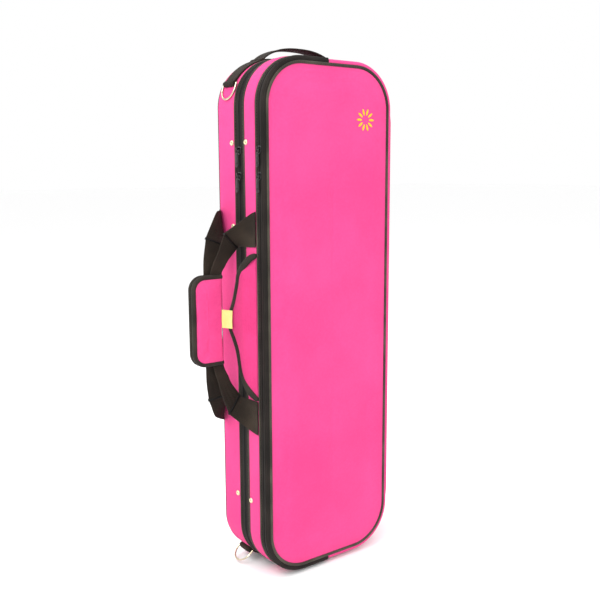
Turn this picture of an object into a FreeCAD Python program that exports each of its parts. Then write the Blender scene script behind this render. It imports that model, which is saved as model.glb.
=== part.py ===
import FreeCAD, Part
import math
import os
from FreeCAD import Placement, Rotation, Vector

os.makedirs("parts", exist_ok=True)
doc = FreeCAD.newDocument("violin_case")

# Driving dimensions in mm and degrees. The case stands on its end: X across, Y from the
# front panel to the rear panel, Z up; local zero is the front panel plane at mid width and mid height.
numbers = {
    "case_length": 790, "case_width": 248, "case_depth": 124, "corner_radius": 72,
    "skin": 1.2, "wall": 14, "rear_board": 8, "front_board": 8, "lining": 2,
    "pocket_depth": 20, "pocket_parting": 10, "parting": 61, "band_width": 28,
    "seam_gap": 1.2, "piping": 5, "panel_inset": 12, "band_inset": 2, "panel_depth": 4.5,
    "chain_width": 2.3, "chain_thickness": 2.6, "chain_proud": 0.6, "chain_relief": 4.4,
    "tape_inset": 0.2, "pocket_chain_end": 8,
    "webbing_width": 53, "webbing": 2.2, "handle_middle": 4, "handle_span": 286, "grip_depth": 69,
    "grip_gap": 32, "grip_width": 28, "wrap_width": 51.6, "wrap_length": 132, "wrap_middle": 10.5,
    "wrap_pad": 4, "binding": 2.4, "clearance": 0.3, "root_depth": 17,
    "flap_to_strap": 9.5, "flap_reach": 64, "flap_stand": 7.5, "flap_skin": 1.7, "flap_middle": 3,
    "label_height": 24, "label_length": 22, "label_middle": 12,
    "rivet_head": 4, "rivet_shank": 1.6, "rivet_dome": 1.4, "rivet_depth": 9, "rivet_setback": 5,
    "rivet_corner_setback": 49.5, "rivet_inner": 149.7, "rivet_middle": -2,
    "foot_height": 5, "foot_radius": 8, "foot_tip": 5.5, "foot_setback": 4, "foot_from_seam": 14,
    "end_tab_width": 30, "end_tab_setback": 16, "arch_half_span": 50, "arch_rise": 24,
    "ring_wire": 2.8, "ring_width": 35, "ring_drop": 24, "upper_ring_angle": 62,
    "upper_ring_lean": 18, "lower_ring_angle": 42, "lower_ring_lean": 50,
    "slider_length": 12, "slider_half_width": 5.5, "slider_plate": 1.8, "slider_corner_setback": 57,
    "slider_spacing": 37, "pull_length": 28, "pull_width": 8, "pull_thickness": 1.4, "pull_pin": 0.7,
    "hinge_tape_width": 26, "pocket_hinge_width": 14, "hinge_tape": 1.0,
    "insert_setback": 14, "bout_margin": 5, "tail_margin": 12, "cavity_floor": 7, "waist_inset": 45,
    "bout_spacing": 166, "bout_difference": 19,
    "neck_half_width": 24, "peg_half_width": 34, "lid_panel": 3, "lid_ledge": 3,
    "tray_length": 128, "compartment_start": 20, "divider": 5, "spinner_setback": 81, "spinner_offset": 50, "spinner_length": 34, "sleeve_radius": 10,
}
sheet = doc.addObject("Spreadsheet::Sheet", "Sheet")
for row, (name, number) in enumerate(numbers.items(), 1):
    sheet.set("A%d" % row, name)
    sheet.set("B%d" % row, str(number))
    sheet.setAlias("B%d" % row, name)
doc.recompute()


class Size:
    # A number together with the sheet expression that gives it, so objects can be bound to it.
    def __init__(self, text, value):
        self.text, self.value = text, float(value)

    def joined(self, sign, other, value):
        return Size("(%s %s %s)" % (self.text, sign, other.text), value)

    def __add__(self, other):
        other = size(other)
        return self.joined("+", other, self.value + other.value)

    def __sub__(self, other):
        other = size(other)
        return self.joined("-", other, self.value - other.value)

    def __mul__(self, other):
        other = size(other)
        return self.joined("*", other, self.value * other.value)

    def __truediv__(self, other):
        other = size(other)
        return self.joined("/", other, self.value / other.value)

    def __radd__(self, other):
        return size(other) + self

    def __rsub__(self, other):
        return size(other) - self

    def __rmul__(self, other):
        return size(other) * self

    def __neg__(self):
        return 0 - self


def size(x):
    return x if isinstance(x, Size) else Size("%r" % float(x), x)


def sine(angle):
    return Size("sin(%s)" % angle.text, math.sin(math.radians(angle.value)))


def cosine(angle):
    return Size("cos(%s)" % angle.text, math.cos(math.radians(angle.value)))


class Sizes:
    pass


d = Sizes()
for name, number in numbers.items():
    setattr(d, name, Size("Sheet." + name, number))

half_width = d.case_width / 2
half_length = d.case_length / 2
wrap_edge = half_width + d.grip_gap + d.wrap_width - 2
# the shift puts the origin under the middle of the whole object, on the feet's tips
shift = (
    (wrap_edge + d.binding - half_width - d.hinge_tape * 1.9 + d.tape_inset) / 2,
    -d.case_depth / 2,
    half_length + d.foot_height,
)
nodes = []
spots = {}
count = [0]


def bind(obj, prop, value):
    value = size(value)
    obj.setExpression(prop, value.text)


def place(obj, x, y, z, rotation=None):
    obj.Placement = Placement(Vector(0, 0, 0), rotation or Rotation())
    spots[obj.Name] = (x, y, z)
    for letter, value in zip("xyz", (x, y, z)):
        bind(obj, "Placement.Base." + letter, value)


def node(obj, name):
    # An object in local coordinates becomes a named sub-part, moved into the shared frame.
    obj.Label = name
    spot = spots.get(obj.Name, (0, 0, 0))
    place(obj, *[a + b for a, b in zip(spot, shift)], rotation=obj.Placement.Rotation)
    nodes.append(obj)
    return obj


def fresh(kind, stem="piece"):
    count[0] += 1
    return doc.addObject(kind, "%s%d" % (stem, count[0]))


# ---- solids from primitives ----
def block(x0, x1, y0, y1, z0, z1):
    b = fresh("Part::Box", "block")
    for prop, low, high in (("Length", x0, x1), ("Width", y0, y1), ("Height", z0, z1)):
        bind(b, prop, size(high) - size(low))
    place(b, x0, y0, z0)
    return b


turns = {
    "x": Rotation(Vector(0, 1, 0), Vector(0, 0, 1), Vector(1, 0, 0), "ZXY"),
    "y": Rotation(Vector(0, 0, 1), Vector(1, 0, 0), Vector(0, 1, 0), "ZXY"),
    "z": Rotation(),
}


def rod(axis, x, y, z, radius, length):
    c = fresh("Part::Cylinder", "rod")
    bind(c, "Radius", radius)
    bind(c, "Height", length)
    place(c, x, y, z, turns[axis])
    return c


def sector(x, y, z, start, sweep_to, along, radius, length, angle):
    c = rod("z", x, y, z, radius, length)
    c.Placement = Placement(Vector(), Rotation(start, sweep_to, along, "ZXY"))
    bind(c, "Angle", angle)
    return c


def ball(x, y, z, radius):
    b = fresh("Part::Sphere", "ball")
    bind(b, "Radius", radius)
    place(b, x, y, z)
    return b


def joined(*shapes):
    f = fresh("Part::MultiFuse", "joined")
    f.Shapes = list(shapes)
    return f


def less(base, tool):
    c = fresh("Part::Cut", "less")
    c.Base, c.Tool = base, tool
    return c


def shared(a, b):
    c = fresh("Part::Common", "shared")
    c.Base, c.Tool = a, b
    return c


# ---- solids from sketches ----
planes = {"xy": "XY_Plane", "xz": "XZ_Plane", "yz": "YZ_Plane"}


def body(stem):
    return doc.addObject("PartDesign::Body", stem)


def sketch(b, plane, start, x=0, y=0):
    # plane xz faces the front, so its own third axis runs towards -Y
    sk = b.newObject("Sketcher::SketchObject", "outline")
    sk.AttachmentSupport = [o for o in b.Origin.OriginFeatures if o.Role == planes[plane]]
    sk.MapMode = "FlatFace"
    bind(sk, "AttachmentOffset.Base.x", x)
    bind(sk, "AttachmentOffset.Base.y", y)
    bind(sk, "AttachmentOffset.Base.z", -size(start) if plane == "xz" else start)
    return sk


def rule(sk, kind, *args):
    # A constraint; a Size as its last argument is bound to the sheet.
    import Sketcher
    value = args[-1]
    if isinstance(value, Size):
        at = sk.addConstraint(Sketcher.Constraint(kind, *args[:-1], value.value))
        sk.setExpression("Constraints[%d]" % at, value.text)
    else:
        sk.addConstraint(Sketcher.Constraint(kind, *args))


def rounded(sk, half_x, half_y, radius):
    w, v, r = half_x.value, half_y.value, radius.value
    ends = [
        ((-w + r, v), (w - r, v)), ((w, v - r), (w, -v + r)),
        ((w - r, -v), (-w + r, -v)), ((-w, -v + r), (-w, v - r)),
    ]
    for a, b in ends:
        sk.addGeometry(Part.LineSegment(Vector(*a, 0), Vector(*b, 0)))
    for cx, cy, first in ((w - r, v - r, 0), (w - r, -v + r, -90), (-w + r, -v + r, 180), (-w + r, v - r, 90)):
        circle = Part.Circle(Vector(cx, cy, 0), Vector(0, 0, 1), r)
        sk.addGeometry(Part.ArcOfCircle(circle, math.radians(first), math.radians(first + 90)))
    for side in range(4):
        arc, following = 4 + side, (side + 1) % 4
        rule(sk, "Tangent", side, 2, arc, 2)
        rule(sk, "Tangent", arc, 1, following, 1)
        rule(sk, "Vertical" if side % 2 else "Horizontal", side)
    for arc in (5, 6, 7):
        rule(sk, "Equal", 4, arc)
    rule(sk, "Radius", 4, radius)
    rule(sk, "DistanceX", -1, 1, 1, 1, half_x)
    rule(sk, "DistanceX", 3, 1, -1, 1, half_x)
    rule(sk, "DistanceY", -1, 1, 0, 1, half_y)
    rule(sk, "DistanceY", 2, 1, -1, 1, half_y)


def polygon(sk, points):
    total = len(points)
    for i, (x, y) in enumerate(points):
        following = points[(i + 1) % total]
        start = Vector(size(x).value, size(y).value, 0)
        end = Vector(size(following[0]).value, size(following[1]).value, 0)
        sk.addGeometry(Part.LineSegment(start, end))
    for i, (x, y) in enumerate(points):
        rule(sk, "Coincident", (i - 1) % total, 2, i, 1)
        rule(sk, "DistanceX", -1, 1, i, 1, size(x))
        rule(sk, "DistanceY", -1, 1, i, 1, size(y))


def circle(sk, radius):
    sk.addGeometry(Part.Circle(Vector(0, 0, 0), Vector(0, 0, 1), radius.value))
    rule(sk, "Coincident", 0, 3, -1, 1)
    rule(sk, "Radius", 0, radius)


def rectangle(sk, half_x, half_y):
    polygon(sk, [(-half_x, -half_y), (half_x, -half_y), (half_x, half_y), (-half_x, half_y)])


def grow(b, sk, depth, plane="xz"):
    # Material from the sketch towards the positive axis.
    f = b.newObject("PartDesign::Pad", "grow")
    f.Profile = sk
    f.Reversed = plane == "xz"
    bind(f, "Length", depth)
    return f


def carve(b, sk, depth, plane="xz"):
    # Removes material from the sketch towards the positive axis.
    f = b.newObject("PartDesign::Pocket", "carve")
    f.Profile = sk
    f.Reversed = plane != "xz"
    bind(f, "Length", depth)
    return f


def outline(b, y, inset):
    inset = size(inset)
    sk = sketch(b, "xz", y)
    rounded(sk, half_width - inset, half_length - inset, d.corner_radius - inset)
    return sk


def slab(b, y0, y1, inset):
    grow(b, outline(b, y0, inset), size(y1) - y0)


def hollow(b, y0, y1, inset):
    carve(b, outline(b, y0, inset), size(y1) - y0)


def carve_side(b, y, depth, end, side):
    # Clears everything beyond the given X, on the right (1) or on the left (-1).
    sk = sketch(b, "xz", y, end + side * d.case_width)
    rectangle(sk, d.case_width, d.case_length)
    carve(b, sk, depth)


def band(name, y0, y1, inset, thickness, end=None):
    # A ring that follows the case outline; with end it stops at that X, on the hinge side.
    b = body(name)
    slab(b, y0, y1, inset)
    hollow(b, y0, y1, size(inset) + thickness)
    if end is not None:
        carve_side(b, y0, size(y1) - y0, end, 1)
    return node(b, name)


def zip_tape(name, y0, y1, chain_y, inset, end):
    # A zip's tape, cut back where its half chain sits and whole beyond the chain's end.
    b = body(name)
    slab(b, y0, y1, inset)
    hollow(b, y0, y1, size(inset) + d.skin)
    carve_side(b, chain_y, d.chain_width, end, -1)
    return node(b, name)


def cord_ring(name, y0, inset):
    # Piping: a rounded ring of the piping's own size.
    b = body(name)
    slab(b, y0, y0 + d.piping, inset)
    hollow(b, y0, y0 + d.piping, inset + d.piping)
    squared = b.Tip
    f = b.newObject("PartDesign::Fillet", "round")
    f.Base = (squared, [""])
    f.UseAllEdges = True
    bind(f, "Radius", d.piping * 0.46)
    return node(b, name)


def holes(b, x0, depth, y, heights, radius):
    for z in heights:
        sk = sketch(b, "yz", x0, y, z)
        circle(sk, radius)
        carve(b, sk, depth, "yz")


def prism(plane, start, length, points):
    b = body("prism")
    sk = sketch(b, plane, start)
    polygon(sk, points)
    grow(b, sk, length, plane)
    return b


# ---- stations from front to rear ----
tape_front = d.parting - d.band_width / 2
tape_rear = d.parting + d.band_width / 2
gap_front = d.parting - d.seam_gap / 2
gap_rear = d.parting + d.seam_gap / 2
rear_face = d.case_depth - d.piping
chain_end = half_width - d.corner_radius
pocket_front = d.pocket_parting - d.seam_gap / 2
pocket_rear = d.pocket_parting + d.seam_gap / 2
lid_floor = d.pocket_depth + d.skin + d.front_board
lid_inside = lid_floor + d.lining
base_floor = rear_face - d.rear_board
insert_face = gap_rear + d.insert_setback
rivet_outer = half_length - d.corner_radius - d.rivet_corner_setback
rivet_heights = {
    "base": [d.rivet_middle + k * h for k in (-1, 1) for h in (rivet_outer, d.rivet_inner)],
    "lid": [d.rivet_middle + k * rivet_outer for k in (-1, 1)],
}
rivet_depths = {"base": tape_rear + d.rivet_setback, "lid": tape_front - d.rivet_setback}
rivet_hole = d.rivet_shank + 0.1

# ---- pocket cover ----
cord_ring("front_piping", size(0), d.panel_inset - d.piping)
b = body("pocket_panel")
slab(b, 1, 1 + d.panel_depth, d.panel_inset)
node(b, "pocket_panel")
b = body("pocket_cover_tape")
slab(b, 1.6, pocket_front, d.band_inset)
hollow(b, 1.6 + d.skin, pocket_front, d.band_inset + d.skin)
hollow(b, 1.6, 1.6 + d.skin, d.panel_inset - d.piping)
carve_side(b, pocket_front - d.chain_width, d.chain_width, d.pocket_chain_end, -1)
node(b, "pocket_cover_tape")
pocket_chain_inset = d.band_inset - d.chain_proud
band("pocket_chain_front", pocket_front - d.chain_width, pocket_front, pocket_chain_inset,
     d.chain_thickness, d.pocket_chain_end)

# ---- lid ----
band("pocket_chain_rear", pocket_rear, pocket_rear + d.chain_width, pocket_chain_inset,
     d.chain_thickness, d.pocket_chain_end)
zip_tape("pocket_tape", pocket_rear, d.pocket_depth, pocket_rear, d.band_inset, d.pocket_chain_end)

b = body("lid_cover")
slab(b, d.pocket_depth, tape_front, 0)
hollow(b, d.pocket_depth + d.skin, tape_front, d.skin)
holes(b, -half_width - 1, d.skin + 2, rivet_depths["lid"], rivet_heights["lid"], rivet_hole)
node(b, "lid_cover")
b = body("lid_core")
slab(b, d.pocket_depth + d.skin, tape_front, d.skin)
slab(b, tape_front, gap_front, d.chain_relief)
hollow(b, lid_floor, gap_front, d.wall)
holes(b, -half_width, d.rivet_depth + d.skin, rivet_depths["lid"], rivet_heights["lid"], rivet_hole)
node(b, "lid_core")
b = body("lid_lining")
slab(b, lid_floor, gap_front, d.wall)
hollow(b, lid_inside, gap_front, d.wall + d.lining)
node(b, "lid_lining")
zip_tape("lid_zip_tape", tape_front, gap_front, gap_front - d.chain_width, d.tape_inset, chain_end)
band("lid_chain", gap_front - d.chain_width, gap_front, -d.chain_proud, d.chain_thickness, chain_end)

# ---- base ----
band("base_chain", gap_rear, gap_rear + d.chain_width, -d.chain_proud, d.chain_thickness, chain_end)
zip_tape("base_zip_tape", gap_rear, tape_rear, gap_rear, d.tape_inset, chain_end)
b = body("base_cover")
slab(b, tape_rear, rear_face, 0)
hollow(b, tape_rear, rear_face, d.skin)
holes(b, -half_width - 1, d.skin + 2, rivet_depths["base"], rivet_heights["base"], rivet_hole)
node(b, "base_cover")
b = body("base_core")
slab(b, gap_rear, tape_rear, d.chain_relief)
slab(b, tape_rear, rear_face, d.skin)
hollow(b, gap_rear, base_floor, d.wall)
holes(b, -half_width, d.rivet_depth + d.skin, rivet_depths["base"], rivet_heights["base"], rivet_hole)
node(b, "base_core")
cord_ring("rear_piping", rear_face, size(0))
b = body("rear_panel")
slab(b, rear_face, rear_face + d.panel_depth - d.skin, d.piping)
node(b, "rear_panel")
band("base_lining", gap_rear, insert_face, d.wall, d.lining)

# ---- fitted insert with the instrument's cavity, neck channel and compartments ----
inner_half_width = half_width - d.wall
inner_half_length = half_length - d.wall
lower_bout = inner_half_width - d.bout_margin
upper_bout = lower_bout - d.bout_difference
tail = -inner_half_length + d.tail_margin
lower_centre = tail + lower_bout
upper_centre = lower_centre + d.bout_spacing
cavity_depth = base_floor - insert_face - d.cavity_floor
room_start = upper_centre + upper_bout + d.compartment_start
top_end = inner_half_length - 2 * d.divider
top_start = top_end - d.tray_length
room_end = top_start - 4 * d.divider
room_outer = inner_half_width - d.wall / 2
room_inner = d.peg_half_width + d.lid_ledge + 4 * d.divider
lid_front = insert_face + d.divider + 2


def carve_box(b, y, depth, x0, x1, z0, z1):
    sk = sketch(b, "xz", y, (x0 + x1) / 2, (z0 + z1) / 2)
    rectangle(sk, (size(x1) - x0) / 2, (size(z1) - z0) / 2)
    carve(b, sk, depth)


b = body("cavity_insert")
slab(b, insert_face, base_floor, d.wall)
for centre, radius in ((lower_centre, lower_bout), (upper_centre, upper_bout)):
    sk = sketch(b, "xz", insert_face, 0, centre)
    circle(sk, radius)
    carve(b, sk, cavity_depth)
waist = lower_bout - d.waist_inset
carve_box(b, insert_face, cavity_depth, -waist, waist, lower_centre, upper_centre)
carve_box(b, insert_face, cavity_depth, -d.neck_half_width, d.neck_half_width, upper_centre, room_end)
peg_start = room_start + (room_end - room_start) * 0.55
carve_box(b, insert_face, cavity_depth, -d.peg_half_width, d.peg_half_width, peg_start, room_end)
carve_box(b, insert_face, cavity_depth, -room_outer, -room_inner, room_start, room_end)
carve_box(b, insert_face, lid_front + d.lid_panel - insert_face, room_inner - d.lid_ledge,
          room_outer + d.clearance, room_start - d.lid_ledge, room_end + d.lid_ledge)
carve_box(b, insert_face, cavity_depth, room_inner, room_outer - d.lid_ledge, room_start, room_end)
sk = sketch(b, "xz", insert_face, 0, (top_start + top_end) / 2)
rounded(sk, room_outer, (top_end - top_start) / 2, (d.corner_radius - d.wall) * 0.78)
carve(b, sk, cavity_depth)
node(b, "cavity_insert")

pad_face = base_floor - d.cavity_floor
for name, z in (("tail_pad", tail + lower_bout * 0.35), ("shoulder_pad", upper_centre + upper_bout * 0.5)):
    b = body(name)
    sk = sketch(b, "xz", pad_face - 8, 0, z)
    rounded(sk, upper_bout * 0.5, size(15), size(8))
    grow(b, sk, 8)
    node(b, name)

cradle_start = room_start + (room_end - room_start) * 0.16
cradle = less(
    block(-d.neck_half_width, d.neck_half_width, insert_face + 8, pad_face, cradle_start, cradle_start + 30),
    rod("z", 0, insert_face + 8, cradle_start - 1, d.neck_half_width - 6, 32))
node(cradle, "neck_cradle")
node(block(-d.neck_half_width - 18, d.neck_half_width + 18, insert_face - 1.6, insert_face,
           cradle_start + 2, cradle_start + 28), "neck_strap")

# ---- accessory lid, hinged on its outer edge ----
panel_x0, panel_x1 = room_inner - d.lid_ledge + d.clearance, room_outer
panel_z0, panel_z1 = room_start - d.lid_ledge + d.clearance, room_end + d.lid_ledge - d.clearance
pull_middle = (panel_z0 + panel_z1) / 2
node(block(panel_x0, panel_x1, lid_front, lid_front + d.lid_panel - 0.02, panel_z0, panel_z1), "accessory_lid")
node(block(panel_x0 + 2, panel_x0 + 14, lid_front - 1.4, lid_front, pull_middle - 8, pull_middle + 8),
     "accessory_pull")

# ---- bow holders on the lid's inner face ----
spinner_z = inner_half_length - d.spinner_setback
for side, name in ((-1, "left"), (1, "right")):
    x = side * d.spinner_offset
    node(joined(
        rod("y", x, lid_inside, spinner_z, size(4), size(7)),
        block(x - d.spinner_length / 2, x + d.spinner_length / 2, lid_inside + 7, lid_inside + 11,
              spinner_z - 4.5, spinner_z + 4.5),
    ), "bow_spinner_" + name)
sleeves = []
for side in (-1, 1):
    x = side * d.spinner_offset
    sleeves.append(less(less(
        rod("z", x, lid_inside, -inner_half_length + 30, d.sleeve_radius, size(24)),
        rod("z", x, lid_inside, -inner_half_length + 29, d.sleeve_radius - 1.6, size(26))),
        block(x - 20, x + 20, lid_inside - 20, lid_inside, -inner_half_length, -inner_half_length + 60)))
node(joined(*sleeves), "bow_sleeves")

# ---- carrying straps: a plan profile crossed with the strap's outline seen from the front ----
side_x = -half_width
strap_x0, strap_x1 = half_width + d.grip_gap, half_width + d.grip_gap + d.grip_width
root_top = d.handle_span / 2 + d.webbing_width / 2
root_low = root_top - d.webbing_width
wrap_top = d.wrap_middle - d.handle_middle + d.wrap_length / 2
wrap_low = d.wrap_middle - d.handle_middle - d.wrap_length / 2


def strap_outline():
    upper = [
        (half_width, root_top), (half_width + d.grip_gap, root_top - d.webbing_width * 0.6),
        (strap_x1, wrap_top + 4),
    ]
    lower = [
        (strap_x1, wrap_low - 4), (half_width + d.grip_gap, -root_top + d.webbing_width * 0.6),
        (half_width, -root_top), (half_width, -root_low), (half_width + 6, -root_low + 2),
        (strap_x0, wrap_low - 4), (strap_x0, wrap_top + 4), (half_width + 6, root_low - 2),
        (half_width, root_low),
    ]
    return [(-x, d.handle_middle + z) for x, z in upper + lower]


def strap(name, way):
    # way is -1 for the lid's strap, in front of the grip's middle plane, and 1 for the base's
    inner = d.clearance + 0.1
    outer = inner + d.webbing
    root = d.grip_depth - (d.pocket_depth + 1)
    knee = strap_x0 - 4
    profile = [
        (-half_width, root), (-half_width, root - d.root_depth), (-knee, inner), (-strap_x1 - 2, inner),
        (-strap_x1 - 2, outer), (-knee - 1, outer), (-half_width - d.webbing, root - d.root_depth + 2),
        (-half_width - d.webbing, root),
    ]
    profile = [(x, d.grip_depth + way * y) for x, y in profile]
    plan = prism("xy", -half_length, d.case_length, profile)
    front = prism("xz", 0, d.case_depth, strap_outline())
    return node(shared(plan, front), name)


strap("lid_strap", -1)
strap("base_strap", 1)

wrap_x = half_width + d.grip_gap - 2 + d.wrap_width / 2
wrap_gap = d.clearance + 0.1 + d.webbing


def wrap_rect(b, y, extra, radius):
    sk = sketch(b, "xz", y, -wrap_x, d.wrap_middle)
    rounded(sk, d.wrap_width / 2 + extra, d.wrap_length / 2 + extra, radius)
    return sk


for half, way in (("front", -1), ("back", 1)):
    y = d.grip_depth + way * wrap_gap - (d.wrap_pad if way < 0 else 0)
    b = body("wrap_" + half)
    grow(b, wrap_rect(b, y, size(0), size(10)), d.wrap_pad)
    node(b, "wrap_" + half)
    b = body("wrap_binding_" + half)
    grow(b, wrap_rect(b, y, d.binding, 10 + d.binding), d.wrap_pad)
    carve(b, wrap_rect(b, y, size(0), size(10)), d.wrap_pad)
    carve_box(b, y, d.wrap_pad, -wrap_x + d.wrap_width / 2 - 8, -wrap_x + d.wrap_width / 2 + 8,
              d.wrap_middle - d.wrap_length, d.wrap_middle + d.wrap_length)
    node(b, "wrap_binding_" + half)
tape_x0, tape_x1 = strap_x1 + 4, wrap_x + d.wrap_width / 2 - 2
tape_z0, tape_z1 = d.wrap_middle - d.wrap_length / 2 + 8, d.wrap_middle + d.wrap_length / 2 - 8
for name, y0, y1 in (("wrap_loop_tape", -wrap_gap, -d.clearance / 2), ("wrap_hook_tape", d.clearance / 2, wrap_gap)):
    node(block(-tape_x1, -tape_x0, d.grip_depth + y0, d.grip_depth + y1, tape_z0, tape_z1), name)

# ---- security flap over the main zip ----
flap_root = d.pocket_depth + 2
# the flap fills the room between the two strap roots, less a gap at each end
flap_height = d.handle_span - d.webbing_width - 2 * d.flap_to_strap
flap_arc = (flap_height * flap_height / 4 + d.flap_reach * d.flap_reach) / (2 * d.flap_reach)
flap_edge = flap_root + d.flap_reach


def flap_plan(near, far):
    stand = half_width + d.flap_stand
    return prism("xy", -half_length, d.case_length, [
        (-half_width + near, flap_root), (-half_width + near, flap_root + 7),
        (-stand + near, flap_root + 24), (-stand + near, flap_edge + 8),
        (-stand - far, flap_edge + 8), (-stand - far, flap_root + 23),
        (-half_width - far, flap_root + 6), (-half_width - far, flap_root)])


def flap_disc(extra):
    return rod("x", -half_width - 30, flap_edge - flap_arc, d.flap_middle, flap_arc + extra, size(60))


node(shared(flap_plan(size(0), d.flap_skin), flap_disc(size(0))), "security_flap")
node(less(shared(flap_plan(size(0), d.flap_skin + 0.8), flap_disc(size(4))), flap_disc(size(0))), "flap_binding")
label_x = half_width + d.flap_stand + d.flap_skin / 2
node(block(-label_x, -label_x + 0.8, flap_edge + 4, flap_edge + 4 + d.label_length,
           d.label_middle - d.label_height / 2, d.label_middle + d.label_height / 2), "label_tab")

# ---- rivets and feet ----
for part in ("lid", "base"):
    y = rivet_depths[part]
    node(joined(*[piece for z in rivet_heights[part] for piece in (
        rod("x", side_x - d.rivet_dome, y, z, d.rivet_head, d.rivet_dome),
        rod("x", side_x - d.rivet_dome / 2, y, z, d.rivet_shank, d.rivet_depth),
    )]), part + "_rivets")
    y = d.pocket_depth + d.foot_from_seam if part == "lid" else rear_face - d.foot_from_seam - 8
    feet = []
    for side in (-1, 1):
        foot = fresh("Part::Cone", "foot")
        bind(foot, "Radius1", d.foot_tip)
        bind(foot, "Radius2", d.foot_radius)
        bind(foot, "Height", d.foot_height)
        place(foot, side * (half_width - d.corner_radius + d.foot_setback), y, -half_length - d.foot_height)
        feet.append(foot)
    node(joined(*feet), part + "_feet")

# ---- end handle, webbing tabs and rings ----
tab_y0 = rear_face - d.end_tab_setback - d.end_tab_width + 5
tab_y1 = tab_y0 + d.end_tab_width
corner_x, corner_z = half_width - d.corner_radius, half_length - d.corner_radius
loop_radius = d.ring_wire / 2 + d.clearance + 1.5
loop_reach = d.corner_radius + loop_radius + 0.1
flat_end = corner_x - 14
top = half_length + d.webbing + 0.2
arch_radius = (d.arch_half_span * d.arch_half_span + d.arch_rise * d.arch_rise) / (2 * d.arch_rise)
arch_middle = top + d.arch_rise - arch_radius
arch = less(
    less(rod("y", 0, tab_y0, arch_middle, arch_radius, d.end_tab_width),
         rod("y", 0, tab_y0 - 1, arch_middle, arch_radius - d.webbing - 0.4, d.end_tab_width + 2)),
    block(-half_width, half_width, tab_y0 - 2, tab_y1 + 2, arch_middle - arch_radius - 5, top))
node(arch, "end_handle")


def corner_strip(x, z, start, sweep, along, angle, y):
    outer = sector(x, y, z, start, sweep, along, d.corner_radius + d.webbing + 0.2, d.end_tab_width, angle)
    return less(outer, rod("y", x, tab_y0 - 1, z, d.corner_radius + 0.02, d.end_tab_width + 2))


up, down, left, right = Vector(0, 0, 1), Vector(0, 0, -1), Vector(-1, 0, 0), Vector(1, 0, 0)
front, rear = Vector(0, -1, 0), Vector(0, 1, 0)
node(joined(
    corner_strip(corner_x, corner_z, up, right, rear, size(28), tab_y0),
    block(flat_end, corner_x + 0.5, tab_y0, tab_y1, half_length, top)), "end_handle_tab")


def ring_tab(name, strip, extra, pivot_x, pivot_z):
    bored = less(
        joined(strip, rod("y", pivot_x, tab_y0, pivot_z, loop_radius, d.end_tab_width), *extra),
        rod("y", pivot_x, tab_y0 - 1, pivot_z, d.ring_wire / 2 + d.clearance, d.end_tab_width + 2))
    return node(bored, name)


upper_pivot = (-corner_x - loop_reach * sine(d.upper_ring_angle), corner_z + loop_reach * cosine(d.upper_ring_angle))
lower_pivot = (-corner_x - loop_reach * sine(d.lower_ring_angle), -corner_z - loop_reach * cosine(d.lower_ring_angle))
ring_tab("upper_ring_tab", corner_strip(-corner_x, corner_z, up, left, front, d.upper_ring_angle, tab_y1),
         [block(-corner_x - 0.5, -flat_end, tab_y0, tab_y1, half_length, top)], *upper_pivot)
ring_tab("lower_ring_tab",
         corner_strip(-corner_x, -corner_z, left, down, front, 90 - d.lower_ring_angle, tab_y1), [], *lower_pivot)


def ring(name, pivot, lean):
    # A wire ring: bar in the tab's loop, two legs and a half round, leaning outwards.
    half, wire, leg = d.ring_width / 2, d.ring_wire / 2, d.ring_drop - d.ring_width / 2
    bend = fresh("Part::Torus", "bend")
    bind(bend, "Radius1", half)
    bind(bend, "Radius2", wire)
    bind(bend, "Angle3", 180)
    place(bend, 0, 0, -leg, Rotation(front, down, right, "ZXY"))
    pieces = [rod("y", 0, -half, 0, wire, 2 * half), bend]
    for side in (-1, 1):
        pieces += [rod("z", 0, side * half, -leg, wire, leg), ball(0, side * half, 0, wire)]
    whole = joined(*pieces)
    whole.Label = name
    whole.Placement = Placement(Vector(), Rotation(Vector(0, 1, 0), 1))
    bind(whole, "Placement.Rotation.Angle", lean)
    for letter, value, move in zip("xyz", (pivot[0], (tab_y0 + tab_y1) / 2, pivot[1]), shift):
        bind(whole, "Placement.Base." + letter, value + move)
    nodes.append(whole)


ring("upper_ring", upper_pivot, d.upper_ring_lean)
ring("lower_ring", lower_pivot, d.lower_ring_lean)

# ---- sliders and pulls ----


def slider(name, y, inset, z):
    # Outer plate, thin keel through the gap between the half chains, inner plate, and a pin for the pull.
    face = half_width - inset + d.chain_proud + 0.35
    under = half_width - inset + d.chain_proud - d.chain_thickness - 0.35
    low, high = z - d.slider_length, z
    pin_x = face + d.slider_plate + 1.9
    pin_z = high - 3
    lugs = [block(-pin_x - 1.2, -face - d.slider_plate / 2, y + a, y + a + 1.0, pin_z - 1.6, pin_z + 1.6)
            for a in (1.7, -2.7)]
    return node(joined(
        block(-face - d.slider_plate, -face, y - d.slider_half_width, y + d.slider_half_width, low, high),
        block(-face - 0.5, -under + 0.5, y - 0.3, y + 0.3, low + 1, high - 1),
        block(-under, -under + 1.2, y - 2.5, y + d.slider_half_width, low, high),
        rod("y", -pin_x, y - 2.7, pin_z, d.pull_pin, size(5.4)), *lugs), name), pin_x, pin_z


def pull(name, y, pin_x, pin_z):
    eye = 1.6
    plate = block(-pin_x - d.pull_thickness / 2, -pin_x + d.pull_thickness / 2, y - d.pull_width / 2,
                  y + d.pull_width / 2, pin_z - d.pull_length, pin_z - 3.4)
    neck = block(-pin_x - d.pull_thickness / 2, -pin_x + d.pull_thickness / 2, y - 1.3, y + 1.3,
                 pin_z - 4, pin_z - 1)
    hub = rod("y", -pin_x, y - 1.3, pin_z, size(eye), size(2.6))
    return node(less(joined(plate, neck, hub), rod("y", -pin_x, y - 4, pin_z, d.pull_pin + d.clearance, size(8))),
                name)


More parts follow.
